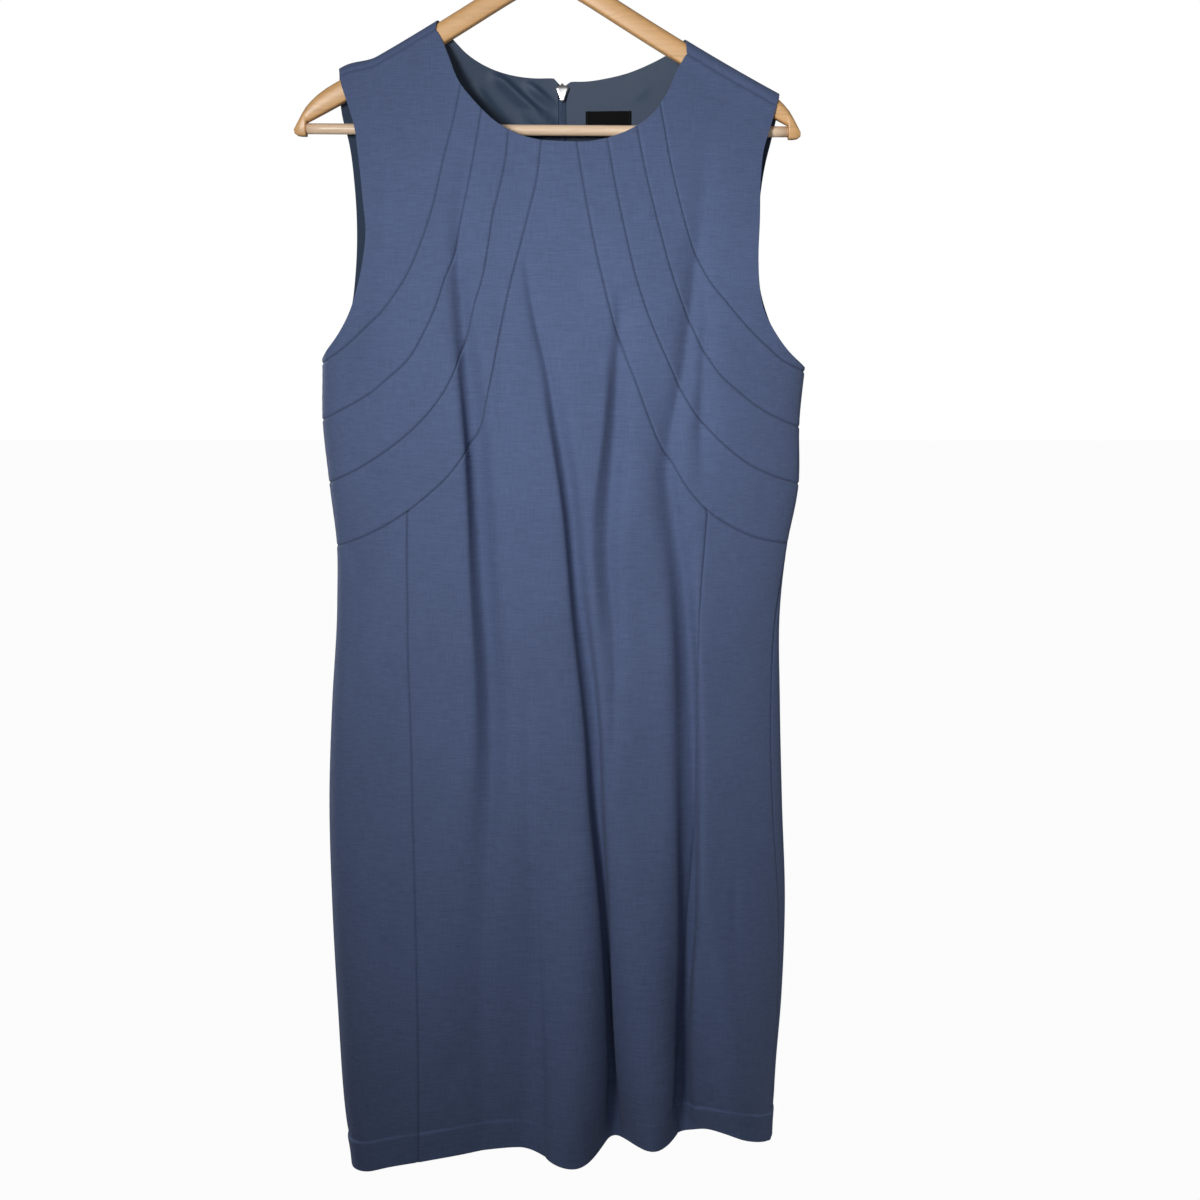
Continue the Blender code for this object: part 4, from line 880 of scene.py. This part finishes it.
def make_yoke(curves, side, word, armhole):
    seam = curves[side, 1]
    neck = evenly(neck_piece(curves, side, 0), 5 * DENSE)
    edge = plan(through(armhole))
    edge[-1] = side_curve(side, edge[-1, 1])
    x = np.linspace(NECK_FRONT[0 if side < 0 else -1][0] * MM, armhole[0][0] * MM, 60)
    low = 0.14 * WRAP_LENGTH * (side > 0)
    shoulder = plan(np.stack([x, shoulder_line(x) - low], axis=1))
    shoulder[0], edge[0] = neck[0], shoulder[-1]
    rows = sum(SEAM_CELLS)
    parts = zip((shoulder, edge), (SHOULDER_CELLS, rows - SHOULDER_CELLS))
    outer = join(*(evenly(part, cells * DENSE) for part, cells in parts))
    bottom = side_piece(side, outer[-1, 1], seam[-1, 1], 5)
    s, t = grid_places("yoke")
    grid = patch((neck, bottom, outer, seam), s, t)
    edges = {"top": 1, "left": mark(t, SHOULDER_CELLS / rows, 1)}
    cloth_piece(f"yoke_cloth_{word}", f"front_yoke_{word}", grid, edges, [f"hanger_arm_{word}"], 0.2)


def make_back(curves):
    """Both back panels. Gives them for the trims that lie on their inner side."""
    backs, shares = {}, None
    for (side, word), tables in zip(SIDES, (
        (ARMHOLE_OVER_LEFT, ARMHOLE_BACK_LEFT, NECK_OVER_LEFT, NECK_BACK_LEFT),
        (ARMHOLE_OVER_RIGHT, ARMHOLE_BACK_RIGHT, NECK_OVER_RIGHT, NECK_BACK_RIGHT),
    )):
        backs[side] = back = Back(curves, side, shares, *tables)
        shares = back.shares
        s, t = grid_places("back")
        edges = {
            "top": mark(s, BACK_TOP_CELLS[0] / back.columns, 1),
            "bottom": 1,
            "left": mark(t, 0, ARMHOLE_CELLS / back.rows),
        }
        arm = [f"hanger_arm_{word}"]
        cloth_piece(f"back_cloth_{word}", f"back_{word}", back.plan(s, t), edges, arm, 0.1, behind=True)
    return backs


# Trims inside the back of the neck

TRIM_ROWS = 9  # rows of the back panel that the lining and the tape reach down to
LINING_START = 0.04  # in rows, from the neck edge
TAPE_START = 0.6
LINING_FIRST_COLUMN = 11  # its outer edge, in columns of the back panel
LINING_TO_SEAM = 3.4 * MM
TAPE_HALF = 3 * MM
TAPE_THICK = 0.6 * MM
COIL_FROM = 9.5 * MM  # under the slider
COIL_PITCH = 0.75 * MM
STITCH = 1.3 * MM
STITCH_PITCH = 2.2 * MM
LINING_DEPTH = CLOTH / 2 + 0.15 * MM + LINING / 2
LABEL_X = (33, 73)  # of its ends, in millimetres
LABEL_THICK = 0.5 * MM
LABEL_DROP = 11 * MM  # of its level top edge, from the construction's highest corner
# The slider: distance out of the cloth, height over the notch's foot, width, thickness.
SLIDER_PATH = (
    (-4, -12.6, 1.6, 1), (-4, -12.2, 2.8, 1.8), (-4, -10.6, 4, 2.3), (-4, -6.5, 7.2, 2.4),
    (-4, -1.6, 11.4, 2.4), (-4, -0.4, 11.8, 2.2), (-3.95, 0.5, 8, 2), (-3.5, 1.8, 2.2, 1.5),
    (-2.5, 2.7, 1.6, 1.4), (-1.4, 2.9, 1.6, 1.3), (2.4, 2.95, 1.6, 1.3), (5.2, 2.9, 1.6, 1.3),
    (6.6, 2.3, 1.6, 1.3), (7.3, 1.1, 1.6, 1.3), (7.3, -0.6, 1.6, 1.3), (6.6, -1.9, 1.6, 1.2),
    (5.6, -2.4, 1.5, 1.1), (4.8, -2.45, 1.2, 0.8),
)
# Ridges of the lining towards the front: x and z of both ends, half width, height.
LINING_RIDGES = (
    (-50, -172, 15, -229, 3.0, 4.6), (-22, -180, 10, -206, 2.6, 3.2),
    (-26, -204, 8, -230, 2.4, 2.2), (-66, -184, -24, -240, 4.4, 2.4),
    (92, -184, 66, -204, 6.0, 0.7), (-14, -236, -26, -276, 5.0, 1.2),
)


def lining_ridges(x, z):
    """Soft on their lower left and steep on their upper right."""
    total = np.zeros_like(x)
    for row in LINING_RIDGES:
        along, across, length = along_line(row, x, z)
        fade = np.clip(along / (16 * MM), 0, 1) * np.clip((length - along) / (24 * MM), 0, 1)
        wide = row[4] * MM * np.where(across < 0, 0.9, 2.4)
        total += row[5] * MM * fade**2 * (3 - 2 * fade) * np.exp(-((across / wide) ** 2))
    return total


def place_across(back, t, x):
    """For each row, the place across the panel where it has this x."""
    s = np.linspace(0.3, 1, 400)
    own = surface(*np.moveaxis(back.plan(s, t), -1, 0))[..., 0]
    return np.array([s[int(np.argmin(np.abs(row - x)))] for row in own])


def under_back(grid, depth):
    """Middle points and normals of a trim at a depth under the back's surface."""
    points, normal = laid(grid)
    return points + (relief(points, True) - depth)[..., None] * normal, normal


def inside_sheet(back, s_rows, t, depth):
    """The same and the plan points, from places in a back panel."""
    grid = np.stack([back.plan(s, t[i : i + 1])[0] for i, s in enumerate(s_rows)])
    return (*under_back(grid, depth), grid)


def trim_piece(name, node, middle, normal, thickness, grid, material, slot, rests_on):
    """A thin sheet whose half thickness thins to a soft edge all round."""
    distance = np.minimum.reduce([d for d, _ in edge_distances(middle).values()])
    turn = np.clip(distance / (0.6 * MM), 0, 1)
    half = thickness / 2 * (0.35 + 0.65 * np.sqrt(1 - (1 - turn) ** 2))
    obj = shell(name, middle, normal, half, half, grid, material)
    declare(obj, slot, node)
    declare_sheet(middle, rests_on)


def make_lining(backs):
    for side, word in SIDES:
        back = backs[side]
        s, t = grid_places("lining")
        t = (t * (TRIM_ROWS - LINING_START) + LINING_START) / back.rows
        inner = place_across(back, t, NOTCH[0] * MM + side * LINING_TO_SEAM)[:, None]
        first = LINING_FIRST_COLUMN / back.columns
        s_rows = first + (inner - first) * s
        middle, normal, grid = inside_sheet(back, s_rows, t, LINING_DEPTH)
        across = running(middle, 1)
        edge = np.minimum.reduce([running(middle, 0), across, across[:, -1:] - across])
        ridges = lining_ridges(middle[..., 0], middle[..., 2]) * np.clip(edge / (5 * MM), 0, 1)
        middle = middle - ridges[..., None] * normal
        name, node = f"lining_cloth_{word}", f"lining_back_{word}"
        cloth = lining_cloth(f"lining_{word}")
        trim_piece(name, node, middle, normal, LINING, grid, cloth, "lining", [f"back_cloth_{word}"])


def make_label():
    """The bare label: a level strip on the lining, to the right of the zip."""
    low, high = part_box("label")
    s, t = grid_places("label")
    top = high[2] - LABEL_DROP
    x, z = np.meshgrid((LABEL_X[0] + (LABEL_X[1] - LABEL_X[0]) * s) * MM, top + (low[2] - top) * t)
    grid = np.stack([angle_of(x, z, behind=True), z], axis=-1)
    middle, normal = under_back(grid, LINING_DEPTH + LINING / 2 + LABEL_THICK)
    cloth, rests_on = label_cloth(), ["lining_cloth_right"]
    trim_piece("label_cloth", "label", middle, normal, LABEL_THICK, grid, cloth, "label", rests_on)
    stitch_ends(middle, normal, LABEL_THICK / 2)


def stitch_ends(middle, normal, lift):
    """Small stitches along the label's two short ends."""
    points, faces = [], []
    for column in (3, -4):
        line = middle[:, column] - (lift + 0.1 * MM) * normal[:, column]
        along = lengths(line)
        for start in np.arange(0.6 * MM, along[-1] - 1.4 * MM, STITCH_PITCH):
            ends = sampled(line, along, (start, start + STITCH))
            add_tube(points, faces, ends, 0.16 * MM, 6)
    declare(link("label_stitches", points, faces, thread_material()), "label")


def skin(points, faces, rings, looped=False):
    """Adds rings of points and the faces between them, then both ends or the way back."""
    first, count, total = len(points), len(rings[0]), len(rings) * len(rings[0])
    points.extend(point for ring in rings for point in ring)
    for i in range(0, total if looped else total - count, count):
        for k in range(count):
            a, b = i + k, i + (k + 1) % count
            corners = (a, b, (b + count) % total, (a + count) % total)
            faces.append(tuple(first + corner for corner in corners))
    if not looped:
        faces.append(tuple(range(first, first + count))[::-1])
        faces.append(tuple(range(first + total - count, first + total)))


def add_tube(points, faces, line, radius, sides):
    """Adds a tube along a line of points. The radius is one number or one per point."""
    line = np.asarray(line, float)
    radii = np.broadcast_to(np.asarray(radius, float), (len(line),))
    along = np.gradient(line, axis=0)
    along /= np.linalg.norm(along, axis=1, keepdims=True)
    up = np.array([0.0, 1.0, 0.0]) if abs(along[0, 1]) < 0.9 else np.array([1.0, 0.0, 0.0])
    rings = []
    for centre, direction, r in zip(line, along, radii):
        side = np.cross(direction, up)
        side /= np.linalg.norm(side)
        rings.append(centre + r * superellipse(sides, 1) @ [side, np.cross(side, direction)])
    skin(points, faces, rings)


def superellipse(count, power):
    """Points round a unit circle, drawn towards a square by a low power."""
    turns = np.arange(count) / count * 2 * math.pi
    ring = np.stack([np.cos(turns), np.sin(turns)], axis=1)
    return np.sign(ring) * np.abs(ring) ** power


def make_zip(backs):
    """The tape inside the back seam, in one sheet over both panels, and the coil on it."""
    t = (spread(0.11, 60) * (TRIM_ROWS - TAPE_START) + TAPE_START) / backs[-1].rows
    depth = WALL / 2 + LAYER_GAP + 0.4 * MM
    halves = []
    for side, _ in SIDES:
        back = backs[side]
        edge = place_across(back, t, NOTCH[0] * MM + side * TAPE_HALF)[:, None]
        found = inside_sheet(back, edge + (1 - edge) * np.linspace(0, 1, 7), t, depth)
        halves.append(found if side < 0 else [part[:, -2::-1] for part in found])
    middle, normal, grid = (np.concatenate(parts, axis=1) for parts in zip(*halves))
    grid[..., 0] = running(middle, 1) / UV_SCALE[0]
    cloth, rests_on = tape_cloth(), ["back_cloth_left", "back_cloth_right"]
    name = "zip_tape"
    trim_piece(name + "_cloth", name, middle, normal, TAPE_THICK, grid, cloth, name, rests_on)
    seam = middle.shape[1] // 2
    make_coil(middle[:, seam], normal[:, seam])


def make_coil(line, normal):
    """The closed zip's two rows of coil, lying on the tape under the slider."""
    along = lengths(line)
    points, faces = [], []
    for number, start in enumerate(np.arange(COIL_FROM, along[-1] - 2 * MM, COIL_PITCH)):
        centre, out = sampled(line, along, start), sampled(normal, along, start)
        side = np.array([MM if number % 2 else -MM, 0, 0])
        turn = ((0.45, 1.9), (0.95, 1.2), (1.0, -0.1), (0.6, -0.5))  # depth, place across
        ends = [centre - out * depth * MM + side * across for depth, across in turn]
        add_tube(points, faces, ends, 0.26 * MM, 6)
    plastic = thread_material("zip_coil_plastic", (0.07, 0.1, 0.18))
    declare(link("zip_coil", points, faces, plastic), "zip_tape")


def make_slider(metal):
    """The slider: a body inside the dress, and the loop that holds the tab outside."""
    foot = plan_point(NOTCH, behind=True)
    start = surface(foot[0], foot[1])
    path = np.array(SLIDER_PATH)
    along = np.gradient(path[:, :2], axis=0)
    along /= np.linalg.norm(along, axis=1, keepdims=True)
    rings = []
    for (out, up, width, thick), (dy, dz) in zip(path, along):
        x, lift = (superellipse(20, 0.5) * (width / 2, thick / 2)).T
        rings.append(start + np.stack([x, out - lift * dz, up + lift * dy], axis=1) * MM)
    points, faces = [], []
    skin(points, faces, rings)
    faces = [face[:1] + face[:0:-1] for face in faces]
    declare(link("slider_body", points, faces, metal), "zip_metal", "zip_slider")


def make_tab(metal):
    """The tab: a plate with a window at its top and soft edges."""
    low, high = (np.array(corner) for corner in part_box("zip_pull"))
    middle, (width, _, length) = (low + high) / 2, high - low
    count = 48
    down = (1 - superellipse(count, 1)[:, 1]) / 2
    taper = 1 - 0.2 * np.clip((down - 0.25) / 0.75, 0, 1)
    plate = superellipse(count, 0.32) * (width / 2, length / 2)
    plate[:, 0] *= taper
    # Each outline, its middle under the top, and how much of an edge's softness its height has.
    outer = (plate, -length / 2, 0.25)
    hole = (superellipse(count, 0.45) * (1.5 * MM, 2.2 * MM), -3.2 * MM, 1)
    rings = []
    for (ring, centre, reach), depth, scale in (
        (outer, -0.25, 1), (outer, -0.5, 0.93), (hole, -0.5, 1.12), (hole, -0.3, 1),
        (hole, 0.3, 1), (hole, 0.5, 1.12), (outer, 0.5, 0.93), (outer, 0.25, 1),
    ):
        x, z = (ring * (scale, 1 - (1 - scale) * reach)).T
        y = np.full(count, middle[1] + depth * MM)
        rings.append(np.stack([middle[0] + x, y, high[2] + centre + z], axis=1))
    points, faces = [], []
    skin(points, faces, rings, looped=True)
    declare(link("tab_plate", points, faces, metal), "zip_metal", "zip_pull", body="pull_tab")


# The hanger

# Distances from the middle, and there the lift of the arm's top and its tip's underside.
ARM_LIFT = (
    (180, 190, 198, 204, 207.95, 208.15, 212, 216, 218.5),
    (0, -0.5, -2, -4.5, -7, -7, -11, -16.5, -20),
)
ARM_UNDER = ((212, 216, 218.5), (-233.5, -233, -231))
ARM_CORNER = 2.6 * MM


def make_arms():
    """The arms: round on top, flat underneath, with rounded tips round the bar's ends."""
    distances = [*np.linspace(0.15, 190, 48), *np.linspace(193, 207.9, 9)]
    distances += [208.15, 209.5, 211, 212.5, 214, 215.5, 216.8, 217.8, 218.4]
    over, corner = np.linspace(0, math.pi, 17), np.linspace(0, math.pi / 2, 6)
    for side, word in SIDES:
        rings = []
        for distance in distances:
            x = side * distance * MM
            middle = arm_line(x)
            top = middle + ARM_TOP_RISE + np.interp(distance, *ARM_LIFT) * MM
            bottom = middle - ARM_BELOW
            if distance > 208:
                bottom = np.interp(distance, *ARM_UNDER) * MM - HANGER_TILT * x
            spring = top - min(ARM_TOP_RISE, 0.4 * (top - bottom))
            thick = ARM_HALF_THICK * (1 - 0.28 * np.clip((distance - 212) / 7, 0, 1) ** 2)
            y = thick - ARM_CORNER * (1 - np.cos(corner))
            z = bottom + ARM_CORNER * (1 - np.sin(corner))
            y = [*(thick * np.cos(over)), *-y[1:], *y[:0:-1]]
            z = [*(spring + (top - spring) * np.sin(over)), *z[1:], *z[:0:-1]]
            rings.append(np.stack([np.full(len(y), x), y, z], axis=1))
        points, faces = [], []
        skin(points, faces, rings)
        if side < 0:
            faces = [face[::-1] for face in faces]
        wood = wood_material(f"arm_{word}", (0.79, 0.455, 0.195))
        declare(link(f"arm_wood_{word}", points, faces, wood), "hanger_wood", f"hanger_arm_{word}")


def make_bar():
    x = np.linspace(-BAR_END, BAR_END, 30)
    line = np.stack([x, 0 * x, BAR_Z + BAR_RISE - HANGER_TILT * x], axis=1)
    points, faces = [], []
    add_tube(points, faces, line, BAR_RADIUS, 40)
    wood = wood_material("bar", (0.95, 0.7, 0.49))
    declare(link("bar_wood", points, faces, wood), "bar_wood", "hanger_bar")


def make_hook():
    """The wire hook, its ferrule on the apex and its rounded tip."""
    metal = metal_material("hook_metal", (0.72, 0.72, 0.74), 0.18, 0.08)
    apex = (arm_line(0) + ARM_TOP_RISE) / MM
    wire, radius = HOOK_WIRE / MM, HOOK_RADIUS / MM
    # x, height over the apex and radius: the ferrule, then the wire's neck.
    neck = (
        (0, 0.4, 4.6), (0, 0.8, 5), (0, 3, 5), (0, 3.6, 4.2), (0, 4.2, 2.3), (0, 10, 2),
        (0.6, 14, 2), (1.5, 18, 2), (4.4, 22.5, 2), (8.5, 27, 2),
    )
    line = [(x, apex + up, r) for x, up, r in neck]
    for turn in np.radians(range(-45, 226, 6)):
        line.append((radius * math.cos(turn), wire - radius + radius * math.sin(turn), wire))
    line.append((line[-1][0] + 0.8, line[-1][1] - 0.8, 1.5))
    x, z, r = np.array(line).T * MM
    points, faces = [], []
    add_tube(points, faces, np.stack([x, 0 * x, z], axis=1), r, 24)
    declare(link("hook_wire", points, faces, metal), "hook_metal", "hanger_hook")


# Materials


class Nodes:
    """Short hand for building the nodes of a material or a world."""

    def __init__(self, name, owners=None, shader="Principled BSDF"):
        self.owner = (bpy.data.materials if owners is None else owners).new(name)
        self.owner.use_nodes = True
        self.tree = self.owner.node_tree
        self.shader = self.tree.nodes[shader]

    def node(self, kind, settings=None, **values):
        node = self.tree.nodes.new(kind)
        for key, value in (settings or {}).items():
            setattr(node, key, value)
        for key, value in values.items():
            self.feed(node.inputs[key.replace("_", " ")], value)
        return node

    def feed(self, socket, value):
        if hasattr(value, "is_output"):
            self.tree.links.new(value, socket)
        else:
            socket.default_value = value

    def shade(self, **values):
        for key, value in values.items():
            self.feed(self.shader.inputs[key.replace("_", " ")], value)

    def noise(self, vector, scale, detail):
        place = self.node("ShaderNodeMapping", Vector=vector, Scale=scale).outputs[0]
        values = {"Vector": place, "Scale": 1.0, "Detail": detail, "Roughness": 0.55}
        return self.node("ShaderNodeTexNoise", **values).outputs["Fac"]

    def place(self, kind="Object"):
        return self.node("ShaderNodeTexCoord").outputs[kind]

    def attribute(self, name):
        return self.node("ShaderNodeAttribute", {"attribute_name": name}).outputs["Fac"]

    def math(self, operation, a, b=0.0):
        node = self.node("ShaderNodeMath", {"operation": operation})
        self.feed(node.inputs[0], a)
        self.feed(node.inputs[1], b)
        return node.outputs[0]

    def total(self, *parts):
        """The sum of values, each with its weight."""
        whole, *others = (self.math("MULTIPLY", value, weight) for value, weight in parts)
        for other in others:
            whole = self.math("ADD", whole, other)
        return whole

    def tones(self, value, colour, *stops):
        """A ramp of darker and lighter tones of one colour: place, share."""
        node = self.node("ShaderNodeValToRGB", Fac=value)
        elements = node.color_ramp.elements
        while len(elements) < len(stops):
            elements.new(0.5)
        for element, (place, share) in zip(elements, stops):
            element.position, element.color = place, tone(colour, share)
        return node.outputs[0]

    def mix(self, share, first, second):
        return self.node("ShaderNodeMixRGB", Fac=share, Color1=first, Color2=second).outputs[0]

    def bump(self, height, distance, strength=1.0):
        node = self.node("ShaderNodeBump", Height=height, Distance=distance, Strength=strength)
        return node.outputs[0]


def tone(colour, share):
    return (*(min(c * share, 1.0) for c in colour), 1)


DRESS_COLOUR = (0.092, 0.128, 0.247)
LINING_COLOUR = (0.041, 0.066, 0.114)


def weave_material(name, colour, pitch, slub, roughness, sheen, relief_depth, lined_with_painted_light=False):
    """Woven cloth on its UV in metres: threads a pitch apart, slubs both ways and clouds."""
    n = Nodes(name)
    uv = n.place("UV")
    # Fine slubs across and down, broad ones across, and clouds: how dense, how strong.
    slubs = (((70, 1150, 1), 0.42), ((1150, 55, 1), 0.3), ((26, 330, 1), 0.16), ((14, 11, 1), 0.12))
    slubs = n.total(*((n.noise(uv, scale, 2.0), weight) for scale, weight in slubs))
    base = n.tones(slubs, colour, (0.34, 1 - slub), (0.5, 1), (0.66, 1 + slub))
    # The dress cloth: the lining's colour on its inner side, a painted highlight along its hem and painted
    # shade in its seams.
    if lined_with_painted_light:
        # Painted highlight along the hem's stitch line.
        base = n.mix(n.math("MULTIPLY", n.attribute("hem_highlight"), 0.7), base, tone(colour, 1.6))
        # Painted shade in the seams' grooves.
        base = n.mix(n.attribute("painted_seam_shade"), base, tone(colour, 0.4))
        back = n.tones(slubs, LINING_COLOUR, (0.34, 0.92), (0.66, 1))
        base = n.mix(n.attribute("inside"), base, back)
    across = n.node("ShaderNodeSeparateXYZ", Vector=uv)
    waves = [n.math("SINE", n.math("MULTIPLY", across.outputs[k], math.pi / pitch)) for k in (0, 1)]
    height = n.math("ADD", n.math("MULTIPLY", n.math("MULTIPLY", *waves), 0.25), slubs)
    n.shade(Base_Color=base, Roughness=roughness, Normal=n.bump(height, relief_depth, 0.7))
    n.shade(Sheen_Weight=sheen, Sheen_Roughness=0.45, Specular_IOR_Level=0.25)
    n.shade(Sheen_Tint=(0.75, 0.82, 1.0, 1))
    return n.owner


def dress_cloth(name):
    return weave_material(name + "_weave", DRESS_COLOUR, 0.5 * MM, 0.2, 0.86, 0.12, 0.35 * MM, True)


def lining_cloth(name):
    return weave_material(name + "_satin", LINING_COLOUR, 0.25 * MM, 0.08, 0.5, 0.05, 0.08 * MM)


def tape_cloth():
    return weave_material("zip_tape_twill", (0.05, 0.076, 0.135), 0.6 * MM, 0.12, 0.8, 0.05, 0.2 * MM)


def label_cloth():
    return weave_material("label_weave", (0.0016, 0.0016, 0.002), 0.4 * MM, 0.3, 0.9, 0.0, 0.15 * MM)


def thread_material(name="label_thread", colour=(0.02, 0.02, 0.024)):
    n = Nodes(name)
    twist = n.noise(n.place(), (2400, 2400, 2400), 1.0)
    base = n.tones(twist, colour, (0.35, 0.8), (0.65, 1.25))
    n.shade(Base_Color=base, Roughness=0.55, Normal=n.bump(twist, 0.05 * MM, 0.5))
    return n.owner


def wood_material(name, colour):
    """Pale varnished wood, its grain along X."""
    n = Nodes(name + "_grain")
    place = n.place()
    slow = n.noise(place, (5, 60, 60), 3.0)
    bent = n.node("ShaderNodeMixRGB", {"blend_type": "ADD"}, Fac=0.03, Color1=place)
    n.feed(bent.inputs[2], n.node("ShaderNodeCombineXYZ", X=slow, Y=slow, Z=slow).outputs[0])
    rings = n.noise(bent.outputs[0], (12, 420, 420), 3.0)
    pores = n.noise(place, (90, 2600, 2600), 2.0)
    grain = n.total((rings, 0.6), (pores, 0.2), (slow, 0.2))
    base = n.tones(grain, colour, (0.33, 0.8), (0.5, 1), (0.68, 1.13))
    n.shade(Base_Color=base, Roughness=n.math("ADD", n.math("MULTIPLY", pores, 0.2), 0.32))
    n.shade(Normal=n.bump(grain, 0.12 * MM, 0.35), Coat_Weight=0.25, Coat_Roughness=0.25)
    return n.owner


def metal_material(name, colour, roughness, wear):
    """Plated metal with faint rubbed streaks."""
    n = Nodes(name)
    streaks = n.noise(n.place(), (900, 900, 2600), 3.0)
    smudge = n.noise(n.place(), (60, 60, 60), 3.0)
    rough = n.math("ADD", n.math("MULTIPLY", smudge, wear), roughness - wear / 2)
    n.shade(Base_Color=n.tones(smudge, colour, (0.3, 0.93), (0.7, 1)), Metallic=1.0)
    n.shade(Roughness=rough, Normal=n.bump(streaks, 0.02 * MM, 0.3))
    return n.owner


# Camera, light and floor

CAMERA_PLACE = (0.0454, -1.45, -0.4331)
CAMERA_TILT = 82  # degrees up from straight down
CAMERA_LENS = 48.85


def make_camera():
    data = bpy.data.cameras.new("camera")
    data.lens = CAMERA_LENS
    data.sensor_width = 36
    camera = bpy.data.objects.new("camera", data)
    camera.location = CAMERA_PLACE
    camera.rotation_euler = (math.radians(CAMERA_TILT), 0, 0)
    bpy.context.scene.collection.objects.link(camera)
    bpy.context.scene.camera = camera


def area_light(name, place, target, size, power, spread):
    data = bpy.data.lights.new(name, "AREA")
    data.shape = "RECTANGLE"
    data.size, data.size_y = size
    data.energy = power
    data.spread = math.radians(spread)
    light = bpy.data.objects.new(name, data)
    light.location = place
    aim = np.array(target, float) - np.array(place, float)
    yaw = math.atan2(aim[1], aim[0]) - math.pi / 2
    pitch = math.atan2(aim[2], math.hypot(aim[0], aim[1]))
    light.rotation_euler = (math.pi / 2 + pitch, 0, yaw)
    bpy.context.scene.collection.objects.link(light)


# Softboxes: place, what it is aimed at, size, power and spread in degrees.
LIGHTS = {
    "key": ((-0.45, -1.22, -0.22), (0.2, 0.0, -0.42), (0.25, 0.25), 2.3, 72),
    "fill": ((0.16, -1.4, -0.14), (0.06, 0.0, -0.5), (0.4, 0.4), 0.4, 90),
    "back_left": ((-1.2, 1.0, -0.2), (0.0, 0.0, -0.55), (0.35, 0.5), 6.0, 140),
    "back_right": ((1.5, 0.4, -0.3), (0.0, 0.0, -0.55), (0.5, 0.7), 3.0, 140),
}
FLOOR_Z = -1.75
ROOM_LIGHT = 0.12  # what the room adds from all sides


def make_stage():
    """A pale floor, a white room and the softboxes."""
    n = Nodes("floor_paint")
    grain = n.noise(n.place(), (40, 40, 40), 2.0)
    n.shade(Base_Color=n.tones(grain, (1, 1, 1), (0.3, 0.9), (0.7, 0.92)), Roughness=0.9)
    glow = n.node("ShaderNodeEmission", Color=(1, 1, 1, 1), Strength=0.97)
    seen = n.node("ShaderNodeLightPath").outputs["Is Camera Ray"]
    mix = n.node("ShaderNodeMixShader", Fac=seen)
    n.feed(mix.inputs[1], n.shader.outputs[0])
    n.feed(mix.inputs[2], glow.outputs[0])
    n.feed(n.tree.nodes["Material Output"].inputs["Surface"], mix.outputs[0])
    size, z = 30.0, FLOOR_Z
    points = [(-size, -size, z), (size, -size, z), (size, size, z), (-size, size, z)]
    link("floor", points, [(0, 1, 2, 3)], n.owner, smooth=False)
    n = Nodes("studio", bpy.data.worlds, "Background")
    seen = n.node("ShaderNodeLightPath").outputs["Is Camera Ray"]
    strength = n.node("ShaderNodeMapRange", Value=seen, To_Min=ROOM_LIGHT, To_Max=1.0)
    n.shade(Color=(1, 1, 1, 1), Strength=strength.outputs[0])
    bpy.context.scene.world = n.owner
    for name, (place, target, size, power, spread) in LIGHTS.items():
        area_light(name, place, target, size, power, spread)
    bpy.context.scene.view_settings.view_transform = "Standard"


def main():
    make_camera()
    curves = front_curves()
    make_front(curves)
    backs = make_back(curves)
    make_lining(backs)
    make_label()
    make_zip(backs)
    metal = metal_material("slider_metal", (0.86, 0.86, 0.88), 0.22, 0.12)
    make_slider(metal)
    make_tab(metal)
    make_arms()
    make_bar()
    make_hook()
    make_stage()


main()
